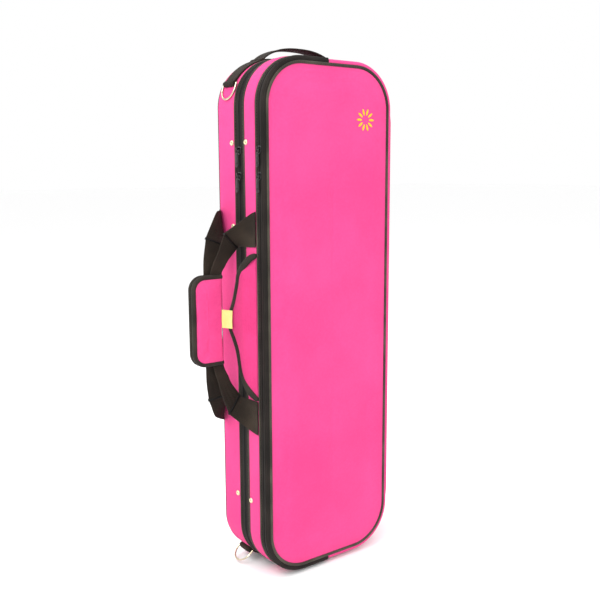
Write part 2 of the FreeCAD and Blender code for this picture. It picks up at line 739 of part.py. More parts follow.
for zip_name, y, inset in (("main", d.parting, size(0)), ("pocket", d.pocket_parting, d.band_inset)):
    highest = half_length - d.corner_radius - d.slider_corner_setback
    for place_name, z in (("upper", highest), ("lower", highest - d.slider_spacing)):
        made, pin_x, pin_z = slider("%s_slider_%s" % (zip_name, place_name), y, inset, z)
        pull("%s_pull_%s" % (zip_name, place_name), y, pin_x, pin_z)

# ---- fabric hinges on the right side ----
for name, y, x, width in (
    ("main_hinge_tape", d.parting, half_width - d.tape_inset, d.hinge_tape_width),
    ("pocket_hinge_tape", d.pocket_parting, half_width - d.band_inset, d.pocket_hinge_width),
):
    run = half_length - d.corner_radius - 4
    node(joined(
        block(x, x + d.hinge_tape, y - width / 2, y + width / 2, -run, run),
        rod("z", x + d.hinge_tape, y, -run, d.hinge_tape * 0.9, 2 * run)), name)

doc.recompute()
for obj in doc.Objects:
    if any(word in obj.State for word in ("Invalid", "Error")):
        raise RuntimeError("object %s (%s) did not compute" % (obj.Name, obj.Label))
for obj in nodes:
    if obj.Shape.isNull() or not obj.Shape.isValid():
        raise RuntimeError("sub-part %s has no valid shape" % obj.Label)
for obj in nodes:
    obj.Shape.exportStep("parts/%s.step" % obj.Label)
    print(obj.Label, len(obj.Shape.Solids), round(obj.Shape.Volume))
print(len(nodes), "sub-parts written")
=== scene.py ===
import math

import bmesh
import bpy
import numpy as np
from mathutils import Matrix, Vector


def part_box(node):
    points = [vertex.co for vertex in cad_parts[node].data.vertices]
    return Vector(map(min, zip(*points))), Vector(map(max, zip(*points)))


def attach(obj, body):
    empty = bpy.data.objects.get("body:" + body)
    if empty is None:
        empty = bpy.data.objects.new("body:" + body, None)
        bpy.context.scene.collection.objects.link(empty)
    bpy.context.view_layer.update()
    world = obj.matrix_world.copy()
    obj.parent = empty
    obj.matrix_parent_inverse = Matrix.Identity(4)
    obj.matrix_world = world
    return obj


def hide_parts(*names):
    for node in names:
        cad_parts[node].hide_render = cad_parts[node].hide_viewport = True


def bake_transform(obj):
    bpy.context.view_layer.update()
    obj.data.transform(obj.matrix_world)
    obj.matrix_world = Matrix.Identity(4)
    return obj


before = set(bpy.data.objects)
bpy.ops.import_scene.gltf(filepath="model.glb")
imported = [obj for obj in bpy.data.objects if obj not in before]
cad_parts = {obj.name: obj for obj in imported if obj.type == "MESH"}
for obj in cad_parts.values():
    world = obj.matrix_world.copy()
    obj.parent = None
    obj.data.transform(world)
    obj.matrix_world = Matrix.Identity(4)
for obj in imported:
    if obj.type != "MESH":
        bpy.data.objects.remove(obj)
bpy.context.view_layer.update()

# the case is drawn in millimetres: X from mid width, Y from the front face, Z from mid height
coverLow, coverHigh = (np.array(v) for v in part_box("base_cover"))
frontLow = np.array(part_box("front_piping")[0])
origin = np.array([(coverLow[0] + coverHigh[0]) / 2, frontLow[1], (coverLow[2] + coverHigh[2]) / 2])
halfWidth = float(coverHigh[0] - coverLow[0]) * 500
halfLength = float(coverHigh[2] - coverLow[2]) * 500
cornerRadius = 72.0


def toFrame(points):
    # case millimetres to frame metres
    return np.asarray(points, float) / 1000 + origin


def nodeBox(name):
    # lowest and highest corner of a CAD node, in case millimetres
    low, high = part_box(name)
    return (np.array(low) - origin) * 1000, (np.array(high) - origin) * 1000


def buildOutline():
    # A rectangle with quarter-circle corners, walked from the middle of the top towards the left (-X),
    # down, along the bottom and up the right side: position, outward normal and length walked.
    across, down = halfWidth - cornerRadius, halfLength - cornerRadius
    turn = np.linspace(0, math.pi / 2, 40)
    xs, zs, nx, nz = [0.0], [halfLength], [0.0], [1.0]
    for k, (cx, cz) in enumerate([(-across, down), (-across, -down), (across, -down), (across, down)]):
        angle = math.pi / 2 * (k + 1) + turn
        nx += list(np.cos(angle))
        nz += list(np.sin(angle))
        xs += list(cx + cornerRadius * np.cos(angle))
        zs += list(cz + cornerRadius * np.sin(angle))
    xs, zs, nx, nz = (np.array(v + [v[0]]) for v in (xs, zs, nx, nz))
    walked = np.concatenate([[0], np.cumsum(np.hypot(np.diff(xs), np.diff(zs)))])
    return xs, zs, nx, nz, walked


outlineData = buildOutline()
perimeter = float(outlineData[4][-1])


def onOutline(s):
    # point and outward normal of the outline at a walked length, repeating round the case
    xs, zs, nx, nz, walked = outlineData
    s = np.mod(s, perimeter)
    ax, az = np.interp(s, walked, nx), np.interp(s, walked, nz)
    size = np.hypot(ax, az)
    return np.interp(s, walked, xs), np.interp(s, walked, zs), ax / size, az / size


def ripple(x, z, size, wave):
    # a calm uneven surface: the sum of four sine waves of different headings
    k = 2 * math.pi / wave
    return size * (np.sin(k * x + 0.7) * np.cos(k * 0.83 * z + 0.4) + 0.6 * np.sin(k * 0.61 * (x + z) + 2.1)
                   + 0.4 * np.sin(k * 1.7 * (x - 0.6 * z) + 1.3)) / 2


def linear(hexColour):
    # an sRGB hex colour as linear red, green, blue and full alpha
    out = []
    for k in (0, 2, 4):
        c = int(hexColour[k:k + 2], 16) / 255
        out.append(c / 12.92 if c <= 0.04045 else ((c + 0.055) / 1.055) ** 2.4)
    return (*out, 1.0)


def addNode(tree, kind, inputs=None, **settings):
    # adds one node, with its settings, and its inputs as values or as sockets to link; `ramp` is a colour
    # ramp's places and colours
    made = tree.nodes.new(kind)
    for element, (place, colour) in zip(made.color_ramp.elements if "ramp" in settings else (),
                                        settings.pop("ramp", ())):
        element.position, element.color = place, linear(colour)
    for key, value in settings.items():
        setattr(made, key, value)
    for key, value in (inputs or {}).items():
        if isinstance(value, bpy.types.NodeSocket):
            tree.links.new(value, made.inputs[key])
        else:
            made.inputs[key].default_value = value
    return made


def startMaterial(name, roughness, sheen=0.0, metallic=0.0, specular=0.5, coat=0.0, sheenTint=None):
    material = bpy.data.materials.new(name)
    material.use_nodes = True
    tree = material.node_tree
    tree.nodes.clear()
    shader = addNode(tree, "ShaderNodeBsdfPrincipled", {"Roughness": roughness, "Metallic": metallic,
                                                        "Sheen Weight": sheen, "Sheen Roughness": 0.45,
                                                        "Specular IOR Level": specular, "Coat Weight": coat})
    if sheenTint:
        shader.inputs["Sheen Tint"].default_value = linear(sheenTint)
    addNode(tree, "ShaderNodeOutputMaterial", {"Surface": shader.outputs[0]})
    return material, tree, shader


def wovenMaterial(name, dark, light, thread, roughness, sheen, relief, blotch=0.05, sheenTint=None,
                  specular=0.3):
    # Woven cloth on Object coordinates: threads run along X, Y and Z at `thread` metres apart; where two
    # directions cross on a surface their sines multiply into over-and-under cells. Slow noise of `blotch`
    # metres shades the colour, as uneven dye and light handling marks do.
    material, tree, shader = startMaterial(name, roughness, sheen, sheenTint=sheenTint, specular=specular)
    place = addNode(tree, "ShaderNodeTexCoord").outputs["Object"]
    parts = addNode(tree, "ShaderNodeSeparateXYZ", {"Vector": place})
    waves = []
    for axis in "XYZ":
        turns = addNode(tree, "ShaderNodeMath", {0: parts.outputs[axis], 1: 2 * math.pi / thread},
                        operation="MULTIPLY").outputs[0]
        waves.append(addNode(tree, "ShaderNodeMath", {0: turns}, operation="SINE").outputs[0])
    cells = [addNode(tree, "ShaderNodeMath", {0: waves[i], 1: waves[j]}, operation="MULTIPLY").outputs[0]
             for i, j in ((0, 2), (1, 2), (0, 1))]
    total = addNode(tree, "ShaderNodeMath", {0: cells[0], 1: cells[1]}, operation="ADD").outputs[0]
    total = addNode(tree, "ShaderNodeMath", {0: total, 1: cells[2]}, operation="ADD").outputs[0]
    slow = addNode(tree, "ShaderNodeTexNoise", {"Vector": place, "Scale": 1 / blotch, "Detail": 3.0,
                                                "Roughness": 0.55}).outputs["Fac"]
    fine = addNode(tree, "ShaderNodeTexNoise", {"Vector": place, "Scale": 0.45 / thread,
                                                "Detail": 2.0}).outputs["Fac"]
    shade = addNode(tree, "ShaderNodeMath", {0: total, 1: 0.10, 2: slow}, operation="MULTIPLY_ADD").outputs[0]
    shade = addNode(tree, "ShaderNodeMath", {0: fine, 1: 0.35, 2: shade}, operation="MULTIPLY_ADD").outputs[0]
    colour = addNode(tree, "ShaderNodeValToRGB", {"Fac": shade}, ramp=((0.45, dark), (0.92, light)))
    tree.links.new(colour.outputs["Color"], shader.inputs["Base Color"])
    height = addNode(tree, "ShaderNodeMath", {0: fine, 1: 1.2, 2: total}, operation="MULTIPLY_ADD").outputs[0]
    bump = addNode(tree, "ShaderNodeBump", {"Height": height, "Distance": relief, "Strength": 0.6})
    tree.links.new(bump.outputs[0], shader.inputs["Normal"])
    return material


def ribbedMaterial(name, dark, light, pitch, roughness, sheen, relief, slant=0.0):
    # Ribbed webbing or tape on its own UV in metres: u runs along it and v across. Ribs are a sine of
    # v (or of u plus the slant times a zigzag of v, for a herringbone), pitch metres apart.
    material, tree, shader = startMaterial(name, roughness, sheen, specular=0.16)
    place = addNode(tree, "ShaderNodeUVMap", uv_map="UVMap").outputs[0]
    parts = addNode(tree, "ShaderNodeSeparateXYZ", {"Vector": place})
    along, across = parts.outputs["X"], parts.outputs["Y"]
    if slant:
        zigzag = addNode(tree, "ShaderNodeMath", {0: across, 1: 0.004}, operation="PINGPONG").outputs[0]
        line = addNode(tree, "ShaderNodeMath", {0: zigzag, 1: slant, 2: along},
                       operation="MULTIPLY_ADD").outputs[0]
    else:
        line = across
    turns = addNode(tree, "ShaderNodeMath", {0: line, 1: 2 * math.pi / pitch},
                    operation="MULTIPLY").outputs[0]
    rib = addNode(tree, "ShaderNodeMath", {0: turns}, operation="SINE").outputs[0]
    pick = addNode(tree, "ShaderNodeMath", {0: addNode(tree, "ShaderNodeMath", {
        0: along, 1: 2 * math.pi / (pitch * 0.7)}, operation="MULTIPLY").outputs[0]},
        operation="SINE").outputs[0]
    both = addNode(tree, "ShaderNodeMath", {0: pick, 1: 0.35, 2: rib}, operation="MULTIPLY_ADD").outputs[0]
    obj = addNode(tree, "ShaderNodeTexCoord").outputs["Object"]
    slow = addNode(tree, "ShaderNodeTexNoise", {"Vector": obj, "Scale": 22.0, "Detail": 3.0}).outputs["Fac"]
    shade = addNode(tree, "ShaderNodeMath", {0: both, 1: 0.16, 2: slow}, operation="MULTIPLY_ADD").outputs[0]
    colour = addNode(tree, "ShaderNodeValToRGB", {"Fac": shade}, ramp=((0.35, dark), (0.85, light)))
    tree.links.new(colour.outputs["Color"], shader.inputs["Base Color"])
    bump = addNode(tree, "ShaderNodeBump", {"Height": both, "Distance": relief, "Strength": 0.8})
    tree.links.new(bump.outputs[0], shader.inputs["Normal"])
    return material


def pileMaterial(name, dark, light, grain, relief, sheen, sheenTint=None):
    # Plush or hook tape: short pile drawn as fine noise of `grain` metres, brushed lighter in patches.
    material, tree, shader = startMaterial(name, 0.9, sheen, specular=0.15, sheenTint=sheenTint)
    place = addNode(tree, "ShaderNodeTexCoord").outputs["Object"]
    fine = addNode(tree, "ShaderNodeTexNoise", {"Vector": place, "Scale": 1 / grain,
                                                "Detail": 3.0}).outputs["Fac"]
    slow = addNode(tree, "ShaderNodeTexNoise", {"Vector": place, "Scale": 14.0, "Detail": 2.0,
                                                "Distortion": 0.8}).outputs["Fac"]
    shade = addNode(tree, "ShaderNodeMath", {0: fine, 1: 0.4, 2: slow}, operation="MULTIPLY_ADD").outputs[0]
    colour = addNode(tree, "ShaderNodeValToRGB", {"Fac": shade}, ramp=((0.5, dark), (0.95, light)))
    tree.links.new(colour.outputs["Color"], shader.inputs["Base Color"])
    bump = addNode(tree, "ShaderNodeBump", {"Height": fine, "Distance": relief, "Strength": 0.8})
    tree.links.new(bump.outputs[0], shader.inputs["Normal"])
    return material


def hardMaterial(name, colour, worn, roughness, metallic=0.0, grain=0.004, coat=0.0,
                 specular=0.5):
    # Metal or moulded plastic: noise of `grain` metres moves the roughness and bump a little, and edges of
    # the noise show the worn colour.
    material, tree, shader = startMaterial(name, roughness, metallic=metallic, coat=coat, specular=specular)
    place = addNode(tree, "ShaderNodeTexCoord").outputs["Object"]
    fine = addNode(tree, "ShaderNodeTexNoise", {"Vector": place, "Scale": 1 / grain,
                                                "Detail": 4.0}).outputs["Fac"]
    finish = addNode(tree, "ShaderNodeValToRGB", {"Fac": fine}, ramp=((0.45, colour), (0.8, worn)))
    tree.links.new(finish.outputs["Color"], shader.inputs["Base Color"])
    rough = addNode(tree, "ShaderNodeMapRange", {"Value": fine, "To Min": max(roughness - 0.08, 0.05),
                                                 "To Max": roughness + 0.10}).outputs[0]
    tree.links.new(rough, shader.inputs["Roughness"])
    bump = addNode(tree, "ShaderNodeBump", {"Height": fine, "Distance": 0.00003, "Strength": 0.5})
    tree.links.new(bump.outputs[0], shader.inputs["Normal"])
    return material


# 600-denier polyester plain weave, matt with a faint sheen; 0.7 mm threads are drawn 1.7 mm apart to show
pinkCanvas = wovenMaterial("pinkPolyesterCanvas", "d13d7b", "e14a88", thread=0.0017, roughness=0.80,
                           sheen=0.05, relief=0.00016, blotch=0.14,
                           sheenTint="ffb0da", specular=0.15)
# the same cloth over thin foam, a little softer in the light
pinkPadding = wovenMaterial("pinkPaddedCanvas", "cf3c78", "e04a86", thread=0.0017, roughness=0.80,
                            sheen=0.07, relief=0.00016, blotch=0.08,
                            sheenTint="ffb0da", specular=0.15)
# the flap's cloth painted a shade deeper than the walls: painted shade, for the flap facing away from the
# lamps
shadedFlapCloth = wovenMaterial("flapCanvasPaintedShade", "be336b", "d23f7b", thread=0.0017, roughness=0.82, sheen=0.05,
                         relief=0.00016, blotch=0.06,
                         sheenTint="ffb0da", specular=0.12)
# black nylon taffeta lining, thin and slightly shiny
blackTaffeta = wovenMaterial("blackNylonTaffeta", "141215", "242126", thread=0.0012, roughness=0.55,
                             sheen=0.10, relief=0.00006, blotch=0.04)
# herringbone nylon webbing, brown-black; the bars are 3 mm apart
webbingMaterial = ribbedMaterial("nylonHerringboneWebbing", "1b1510", "3b3128", pitch=0.0030, roughness=0.78,
                                 sheen=0.03, relief=0.00030, slant=1.0)
# woven polyester zip tape with lengthwise ribs 1.9 mm apart
tapeMaterial = ribbedMaterial("polyesterZipTape", "130f0d", "2b2521", pitch=0.0019, roughness=0.72,
                              sheen=0.02, relief=0.00025)
# grosgrain binding over cord, cross ribs 1.5 mm apart
bindingMaterial = ribbedMaterial("grosgrainBinding", "1a1512", "3a342c", pitch=0.0015, roughness=0.66,
                                 sheen=0.06, relief=0.00014, slant=0.3)
# the corded seam beside each zip and the front piping: the same grosgrain painted paler, a painted highlight
# along its crown
seamHighlightMaterial = ribbedMaterial("seamBindingPaintedHighlight", "26221c", "575246", pitch=0.0015, roughness=0.62,
                              sheen=0.10, relief=0.00012, slant=0.3)
# nylon zip coil, smooth and a little glossy
coilMaterial = hardMaterial("nylonZipCoil", "090807", "171413", roughness=0.55, grain=0.003, specular=0.2)
# short-pile plush, near black with a soft sheen
plushMaterial = pileMaterial("shortPilePlush", "17161a", "2b2930", grain=0.0016, relief=0.0005, sheen=0.65,
                             sheenTint="8f8a99")
# hook-and-loop tape, black nylon, coarse
hookMaterial = pileMaterial("nylonHookTape", "121112", "262426", grain=0.0012, relief=0.0006, sheen=0.1)
# warm nickel plating on steel wire, polished
nickelMaterial = hardMaterial("polishedNickelSteel", "cfc4a8", "e6dfcb", roughness=0.22, metallic=1.0,
                              grain=0.006)
# polished brass, slightly yellowed
brassMaterial = hardMaterial("polishedBrass", "b08d4e", "d2b877", roughness=0.26, metallic=1.0, grain=0.005)
# pale lacquered brass of the eyelets
eyeletMaterial = hardMaterial("paleLacqueredBrass", "d8cfa6", "efe9cf", roughness=0.34, metallic=0.6,
                              grain=0.004)
# the pressed centre of an eyelet, darker brass
centreMaterial = hardMaterial("darkBrassPin", "7d6138", "94784a", roughness=0.4, metallic=0.8, grain=0.003)
# black lacquered zinc casting
zincMaterial = hardMaterial("blackLacqueredZinc", "100f10", "2c2a2c", roughness=0.24, metallic=0.35,
                            grain=0.003, coat=0.3)
# moulded black ABS
plasticMaterial = hardMaterial("mouldedBlackPlastic", "141414", "232323", roughness=0.35, grain=0.004,
                               coat=0.1)
# woven satin label, pale yellow
labelMaterial = wovenMaterial("yellowSatinLabel", "f6e884", "fff49c", thread=0.0010, roughness=0.5,
                              sheen=0.2, relief=0.00005, blotch=0.02)
# embroidery thread, golden yellow rayon
threadMaterial = ribbedMaterial("goldenRayonThread", "e0a512", "f7c928", pitch=0.0007, roughness=0.42,
                                sheen=0.25, relief=0.0001, slant=0.4)
# bonded polyester thread of the seams, brown-black
stitchMaterial = ribbedMaterial("bondedPolyesterThread", "2a241e", "544a3e", pitch=0.0006, roughness=0.5,
                                sheen=0.1, relief=0.00008, slant=0.4)
print("materials made")


def skinData(points, wrapRows=False):
    # A grid of rows and columns as a closed skin. Columns always close on themselves; rows close too, or
    # end in a fan to a pole at each end. Its UV is real size: u down the rows, v round the columns.
    points = np.asarray(points, float)
    rows, columns = points.shape[:2]
    index = np.arange(rows * columns).reshape(rows, columns)
    right = np.roll(index, -1, axis=1)
    below, belowRight = np.roll(index, -1, axis=0), np.roll(right, -1, axis=0)
    last = rows if wrapRows else rows - 1
    quads = np.stack([index[:last], right[:last], belowRight[:last], below[:last]], -1).reshape(-1, 4)
    rowGap = np.linalg.norm(np.roll(points, -1, 0) - points, axis=2).mean(1)
    columnGap = np.linalg.norm(np.roll(points, -1, 1) - points, axis=2).mean(0)
    rowAt = np.concatenate([[0], np.cumsum(rowGap)]) / 1000
    columnAt = np.concatenate([[0], np.cumsum(columnGap)]) / 1000
    u0, v0 = np.meshgrid(rowAt[:last], columnAt[:columns], indexing="ij")
    u1, v1 = np.meshgrid(rowAt[1:last + 1], columnAt[1:columns + 1], indexing="ij")
    uv = np.stack([np.stack([u0, v0], -1), np.stack([u0, v1], -1), np.stack([u1, v1], -1),
                   np.stack([u1, v0], -1)], -2).reshape(-1, 2)
    vertices = points.reshape(-1, 3)
    fans = np.zeros((0, 3), int)
    if not wrapRows:
        first, final = len(vertices), len(vertices) + 1
        vertices = np.vstack([vertices, points[0].mean(0), points[-1].mean(0)])
        fans = np.vstack([np.stack([right[0], index[0], np.full(columns, first)], -1),
                          np.stack([index[-1], right[-1], np.full(columns, final)], -1)])
        near, far = columnAt[:-1], columnAt[1:]
        for at, way, (first, second) in ((0, -1, (far, near)), (rowAt[rows - 1], 1, (near, far))):
            rim = np.full(columns, at)
            fan = [np.stack(pair, -1) for pair in ((rim, first), (rim, second), (rim + way * 0.002, near))]
            uv = np.vstack([uv, np.stack(fan, 1).reshape(-1, 2)])
    return vertices, quads, fans, uv


def buildPiece(name, skins, materials, body, replaces=(), sharpAngle=None, blendTo=None):
    # Joins skins into one object: each is (data, material number), and a bare grid of points is one skin.
    if isinstance(skins, np.ndarray):
        skins = [(skinData(skins), 0)]
    vertices, faces, uvs, numbers, start = [], [], [], [], 0
    for data, number in skins:
        points, quads, fans, uv = data
        faces += (quads + start).tolist() + (fans + start).tolist()
        uvs.append(uv)
        numbers += list(number) if isinstance(number, np.ndarray) else [number] * (len(quads) + len(fans))
        vertices.append(points)
        start += len(points)
    mesh = bpy.data.meshes.new(name)
    mesh.from_pydata(toFrame(np.vstack(vertices)).tolist(), [], faces)
    layer = mesh.uv_layers.new(name="UVMap")
    layer.data.foreach_set("uv", np.vstack(uvs).astype(np.float32).ravel())
    mesh.polygons.foreach_set("material_index", np.array(numbers, np.int32))
    for material in materials:
        mesh.materials.append(material)
    work = bmesh.new()
    work.from_mesh(mesh)
    bmesh.ops.recalc_face_normals(work, faces=work.faces)
    work.to_mesh(mesh)
    work.free()
    mesh.polygons.foreach_set("use_smooth", np.ones(len(mesh.polygons), bool))
    if sharpAngle:
        mesh.set_sharp_from_angle(angle=math.radians(sharpAngle))
    mesh.update()
    piece = bpy.data.objects.new(name, mesh)
    bpy.context.scene.collection.objects.link(piece)
    if replaces:
        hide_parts(*replaces)
    if blendTo:
        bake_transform(piece)
    elif body:
        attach(piece, body)
    return piece


def ringPoints(profile, span=None, spacing=5.0, lift=None):
    # A closed profile of (inset, depth) carried along the case's outline; lift(s, profile) moves it outward.
    profile = np.asarray(profile, float)
    start, stop = span or (0, perimeter)
    count = max(int((stop - start) / spacing), 8)
    s = np.linspace(start, stop, count, endpoint=span is not None)
    x, z, nx, nz = onOutline(s)
    inset = np.repeat(profile[None, :, 0], count, 0)
    depth = np.repeat(profile[None, :, 1], count, 0)
    if lift is not None:
        inset = inset - lift(s[:, None], profile[None, :, 1], inset)
    return np.stack([x[:, None] - inset * nx[:, None], depth, z[:, None] - inset * nz[:, None]], -1)


def ringPiece(name, profile, material, body, replaces, span=None, spacing=5.0, lift=None,
              seamColumns=0):
    # the first seamColumns strips of the profile are the corded seam, in the paler seam material, a painted
    # highlight
    data = skinData(ringPoints(profile, span, spacing, lift), wrapRows=span is None)
    number = np.zeros(len(data[1]) + len(data[2]), int)
    number[:len(data[1])] = np.tile(np.arange(len(profile)) < seamColumns, len(data[1]) // len(profile))
    materials = [material, seamHighlightMaterial] if seamColumns else [material]
    return buildPiece(name, [(data, number)], materials, body, replaces)


def smoothLine(points, count):
    # Catmull-Rom curve through the points, even in parameter
    points = np.asarray(points, float)
    padded = np.vstack([2 * points[0] - points[1], points, 2 * points[-1] - points[-2]])
    t = np.linspace(0, len(points) - 1 - 1e-9, count)
    k = t.astype(int)
    f = (t - k)[:, None]
    a, b, c, e = padded[k], padded[k + 1], padded[k + 2], padded[k + 3]
    squared, cubed = 2 * a - 5 * b + 4 * c - e, 3 * b - a - 3 * c + e
    return 0.5 * (2 * b + (c - a) * f + squared * f ** 2 + cubed * f ** 3)


def tubePoints(path, wide, deep, reference, sides=10, closed=False):
    # An oval section, wide by deep, carried along a path; `reference` is the section's deep direction.
    path = np.asarray(path, float)
    along = (np.roll(path, -1, 0) - np.roll(path, 1, 0)) if closed else np.gradient(path, axis=0)
    along /= np.linalg.norm(along, axis=1)[:, None]
    deepWay = np.asarray(reference, float) - (along @ np.asarray(reference, float))[:, None] * along
    deepWay /= np.linalg.norm(deepWay, axis=1)[:, None]
    wideWay = np.cross(along, deepWay)
    angle = np.linspace(0, 2 * math.pi, sides, endpoint=False)
    wide = np.broadcast_to(wide, len(path))[:, None, None]
    return (path[:, None] + np.cos(angle)[None, :, None] * wideWay[:, None] * wide
            + np.sin(angle)[None, :, None] * deepWay[:, None] * deep)


def strapPoints(edgeA, edgeB, thick, rows=60, across=9, cup=0.0):
    # Webbing as a ruled ribbon between two smooth edge lines, thickened along its own normal; `cup` bows
    # the middle of its width, and the woven edges are a little thicker.
    a, b = smoothLine(edgeA, rows), smoothLine(edgeB, rows)
    t = np.linspace(0, 1, across)[None, :, None]
    middle = a[:, None] * (1 - t) + b[:, None] * t
    along = np.gradient(middle, axis=0)
    side = np.repeat((b - a)[:, None], across, 1)
    normal = np.cross(along, side)
    normal /= np.maximum(np.linalg.norm(normal, axis=2), 1e-9)[:, :, None]
    middle = middle + normal * cup * np.sin(math.pi * t)
    half = thick / 2 * (1 + 0.25 * np.abs(2 * t - 1) ** 6)
    half = half * np.where((t < 1e-6) | (t > 1 - 1e-6), 0.55, 1.0)
    return np.concatenate([middle + normal * half, (middle - normal * half)[:, ::-1]], 1)


def spunPoints(profile, centre, axis, columns=20):
    # A profile of (radius, height) turned round an axis through the centre.
    profile = np.asarray(profile, float)
    axis = np.asarray(axis, float) / np.linalg.norm(axis)
    first = np.cross(axis, [0.3, 0.5, 0.8])
    first /= np.linalg.norm(first)
    second = np.cross(axis, first)
    angle = np.linspace(0, 2 * math.pi, columns, endpoint=False)
    ring = np.cos(angle)[:, None] * first + np.sin(angle)[:, None] * second
    radius, height = profile[:, 0, None, None], profile[:, 1, None, None]
    return np.asarray(centre, float) + radius * ring[None] + height * axis


def panelPoints(inset, front, back, crown, spread=22.0, wobble=0.0, wave=90.0, rimRound=0.6, spacing=5.0):
    # A padded panel that fills the outline at an inset: rings shrink from the rim to the case's mid line,
    # and the front rises by crown times (1 - exp(-distance from the rim / spread)).
    count = int(perimeter / spacing)
    x, z, nx, nz = onOutline(np.linspace(0, perimeter, count, endpoint=False))
    rim = np.stack([x - inset * nx, z - inset * nz], -1)
    middle = np.stack([np.zeros(count), np.clip(z, -(halfLength - halfWidth), halfLength - halfWidth)], -1)
    reach = np.linalg.norm(rim - middle, axis=1)
    share = 1 - np.concatenate([[0, 0.006, 0.015], np.linspace(0.03, 0.97, 26)])
    sign = 1 if back > front else -1

    def layer(level, bulge, order):
        flat = middle[None] + (rim - middle)[None] * order[:, None, None]
        distance = (1 - order)[:, None] * reach[None]
        y = level - sign * (bulge * (1 - np.exp(-distance / spread)))
        if wobble and bulge:
            y = y + ripple(flat[..., 0], flat[..., 1], wobble, wave) * (1 - np.exp(-distance / spread))
        return np.stack([flat[..., 0], y, flat[..., 1]], -1)

    rounded = layer(front + sign * rimRound, 0, np.array([1.0]))
    return np.concatenate([layer(front, crown, share[::-1]), rounded, layer(back, 0, share)], 0)


def softCopy(node, name, material, body, voxel, smooth):
    # A CAD solid as a soft form: copied, merged, remeshed evenly and relaxed, so every edge rounds off.
    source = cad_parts[node]
    mesh = source.data.copy()
    mesh.materials.clear()
    piece = bpy.data.objects.new(name, mesh)
    bpy.context.scene.collection.objects.link(piece)
    work = bmesh.new()
    work.from_mesh(mesh)
    bmesh.ops.remove_doubles(work, verts=work.verts, dist=1e-6)
    work.to_mesh(mesh)
    work.free()
    remesh = piece.modifiers.new("even", "REMESH")
    remesh.mode, remesh.voxel_size = "VOXEL", voxel / 1000
    relax = piece.modifiers.new("relax", "SMOOTH")
    relax.factor, relax.iterations = 0.5, smooth
    depsgraph = bpy.context.evaluated_depsgraph_get()
    done = bpy.data.meshes.new_from_object(piece.evaluated_get(depsgraph))
    piece.modifiers.clear()
    piece.data = done
    done.materials.clear()
    done.materials.append(material)
    done.polygons.foreach_set("use_smooth", np.ones(len(done.polygons), bool))
    if body:
        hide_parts(node)
        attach(piece, body)
    return piece


def puff(piece, pressure, cap):
    # The cloth swells under air pressure with gravity off; no point moves more than the cap in millimetres.
    scene = bpy.context.scene
    before = np.array([v.co for v in piece.data.vertices])
    cloth = piece.modifiers.new("cloth", "CLOTH")
    settings = cloth.settings
    settings.quality = 6
    settings.use_pressure = True
    settings.uniform_pressure_force = pressure
    settings.effector_weights.gravity = 0
    settings.mass = 0.3
    settings.tension_stiffness = settings.compression_stiffness = 25
    settings.bending_stiffness = 1.5
    cloth.point_cache.frame_start, cloth.point_cache.frame_end = 1, 20
    for moment in range(1, 21):
        scene.frame_set(moment)
    result = piece.evaluated_get(bpy.context.evaluated_depsgraph_get())
    after = np.array([v.co for v in result.data.vertices])
    piece.modifiers.clear()
    scene.frame_set(1)
    move = after - before
    length = np.linalg.norm(move, axis=1)
    share = np.minimum(1, cap / 1000 / np.maximum(length, 1e-9))
    piece.data.vertices.foreach_set("co", (before + move * share[:, None]).astype(np.float32).ravel())
    piece.data.update()
    print("puffed", piece.name, "by up to %.1f mm" % (np.minimum(length, cap / 1000).max() * 1000))


# the seams' depths, and where the lid and the pocket part
lidFront, lidRear = (round(float(corner[1]), 3) for corner in nodeBox("lid_cover"))
baseFront, baseRear = (round(float(corner[1]), 3) for corner in nodeBox("base_cover"))
parting, pocketParting = (lidRear + baseFront) / 2, lidFront / 2

# the pink shell: how far its walls swell between their seams
shell = {"crown": 1.1, "cloth": 1.2, "ripple": 0.35, "rippleWave": 70.0, "slowWave": 173.0}
bottomMiddle = perimeter / 2
zipEnd = -4.0        # how far past the middle the pocket's zip runs
mainZipEnd = 52.0
zipSpan = (-zipEnd, bottomMiddle + zipEnd)
hingeSpan = (bottomMiddle + zipEnd, perimeter - zipEnd)
mainSpan = (-mainZipEnd, bottomMiddle + mainZipEnd)


def wallLift(low, high, crown):
    # The wall swells by crown times a flattened half sine between its seams, plus a slow ripple.
    def lift(s, depth, inset):
        inside = np.clip((depth - low) / (high - low), 0, 1)
        swell = np.sin(math.pi * inside) ** 0.6
        outside = inset < 0.6
        wander = 2 * math.pi * s / shell["rippleWave"] + 0.5 * np.sin(s / 37)
        uneven = np.sin(wander) * np.sin(2 * math.pi * s / shell["slowWave"] + 1)
        share = np.clip(1 + onOutline(s)[3], 0.15, 1)  # the case's own weight keeps its underside flat
        return np.where(outside, swell * share * (crown + shell["ripple"] * uneven), 0)
    return lift


def wallProfile(low, high, thick, steps=12):
    # outer face with both edges turned in, then the inner face back
    y = np.linspace(low + 0.8, high - 0.8, steps)
    outer = [(thick * 0.9, low + 0.1), (0.5, low + 0.15), *((0.0, v) for v in y)]
    outer += [(0.5, high - 0.15), (thick * 0.9, high - 0.1)]
    inner = [(thick, high - 0.4), (thick, (low + high) / 2), (thick, low + 0.4)]
    return outer + inner


ringPiece("lidWall", wallProfile(lidFront, lidRear, shell["cloth"]), pinkCanvas, "lid", ["lid_cover"],
          spacing=4.5, lift=wallLift(lidFront, lidRear, shell["crown"]))
ringPiece("baseWall", wallProfile(baseFront, baseRear, shell["cloth"], 16), pinkCanvas, "base",
          ["base_cover"], spacing=4.5, lift=wallLift(baseFront, baseRear, shell["crown"]))
pocketFloor = {"inset": 2.0, "front": 20.3, "back": 21.15, "crown": 0.3, "rimRound": 0.4}
buildPiece("pocketFloor", panelPoints(**pocketFloor), [blackTaffeta], "lid", [])

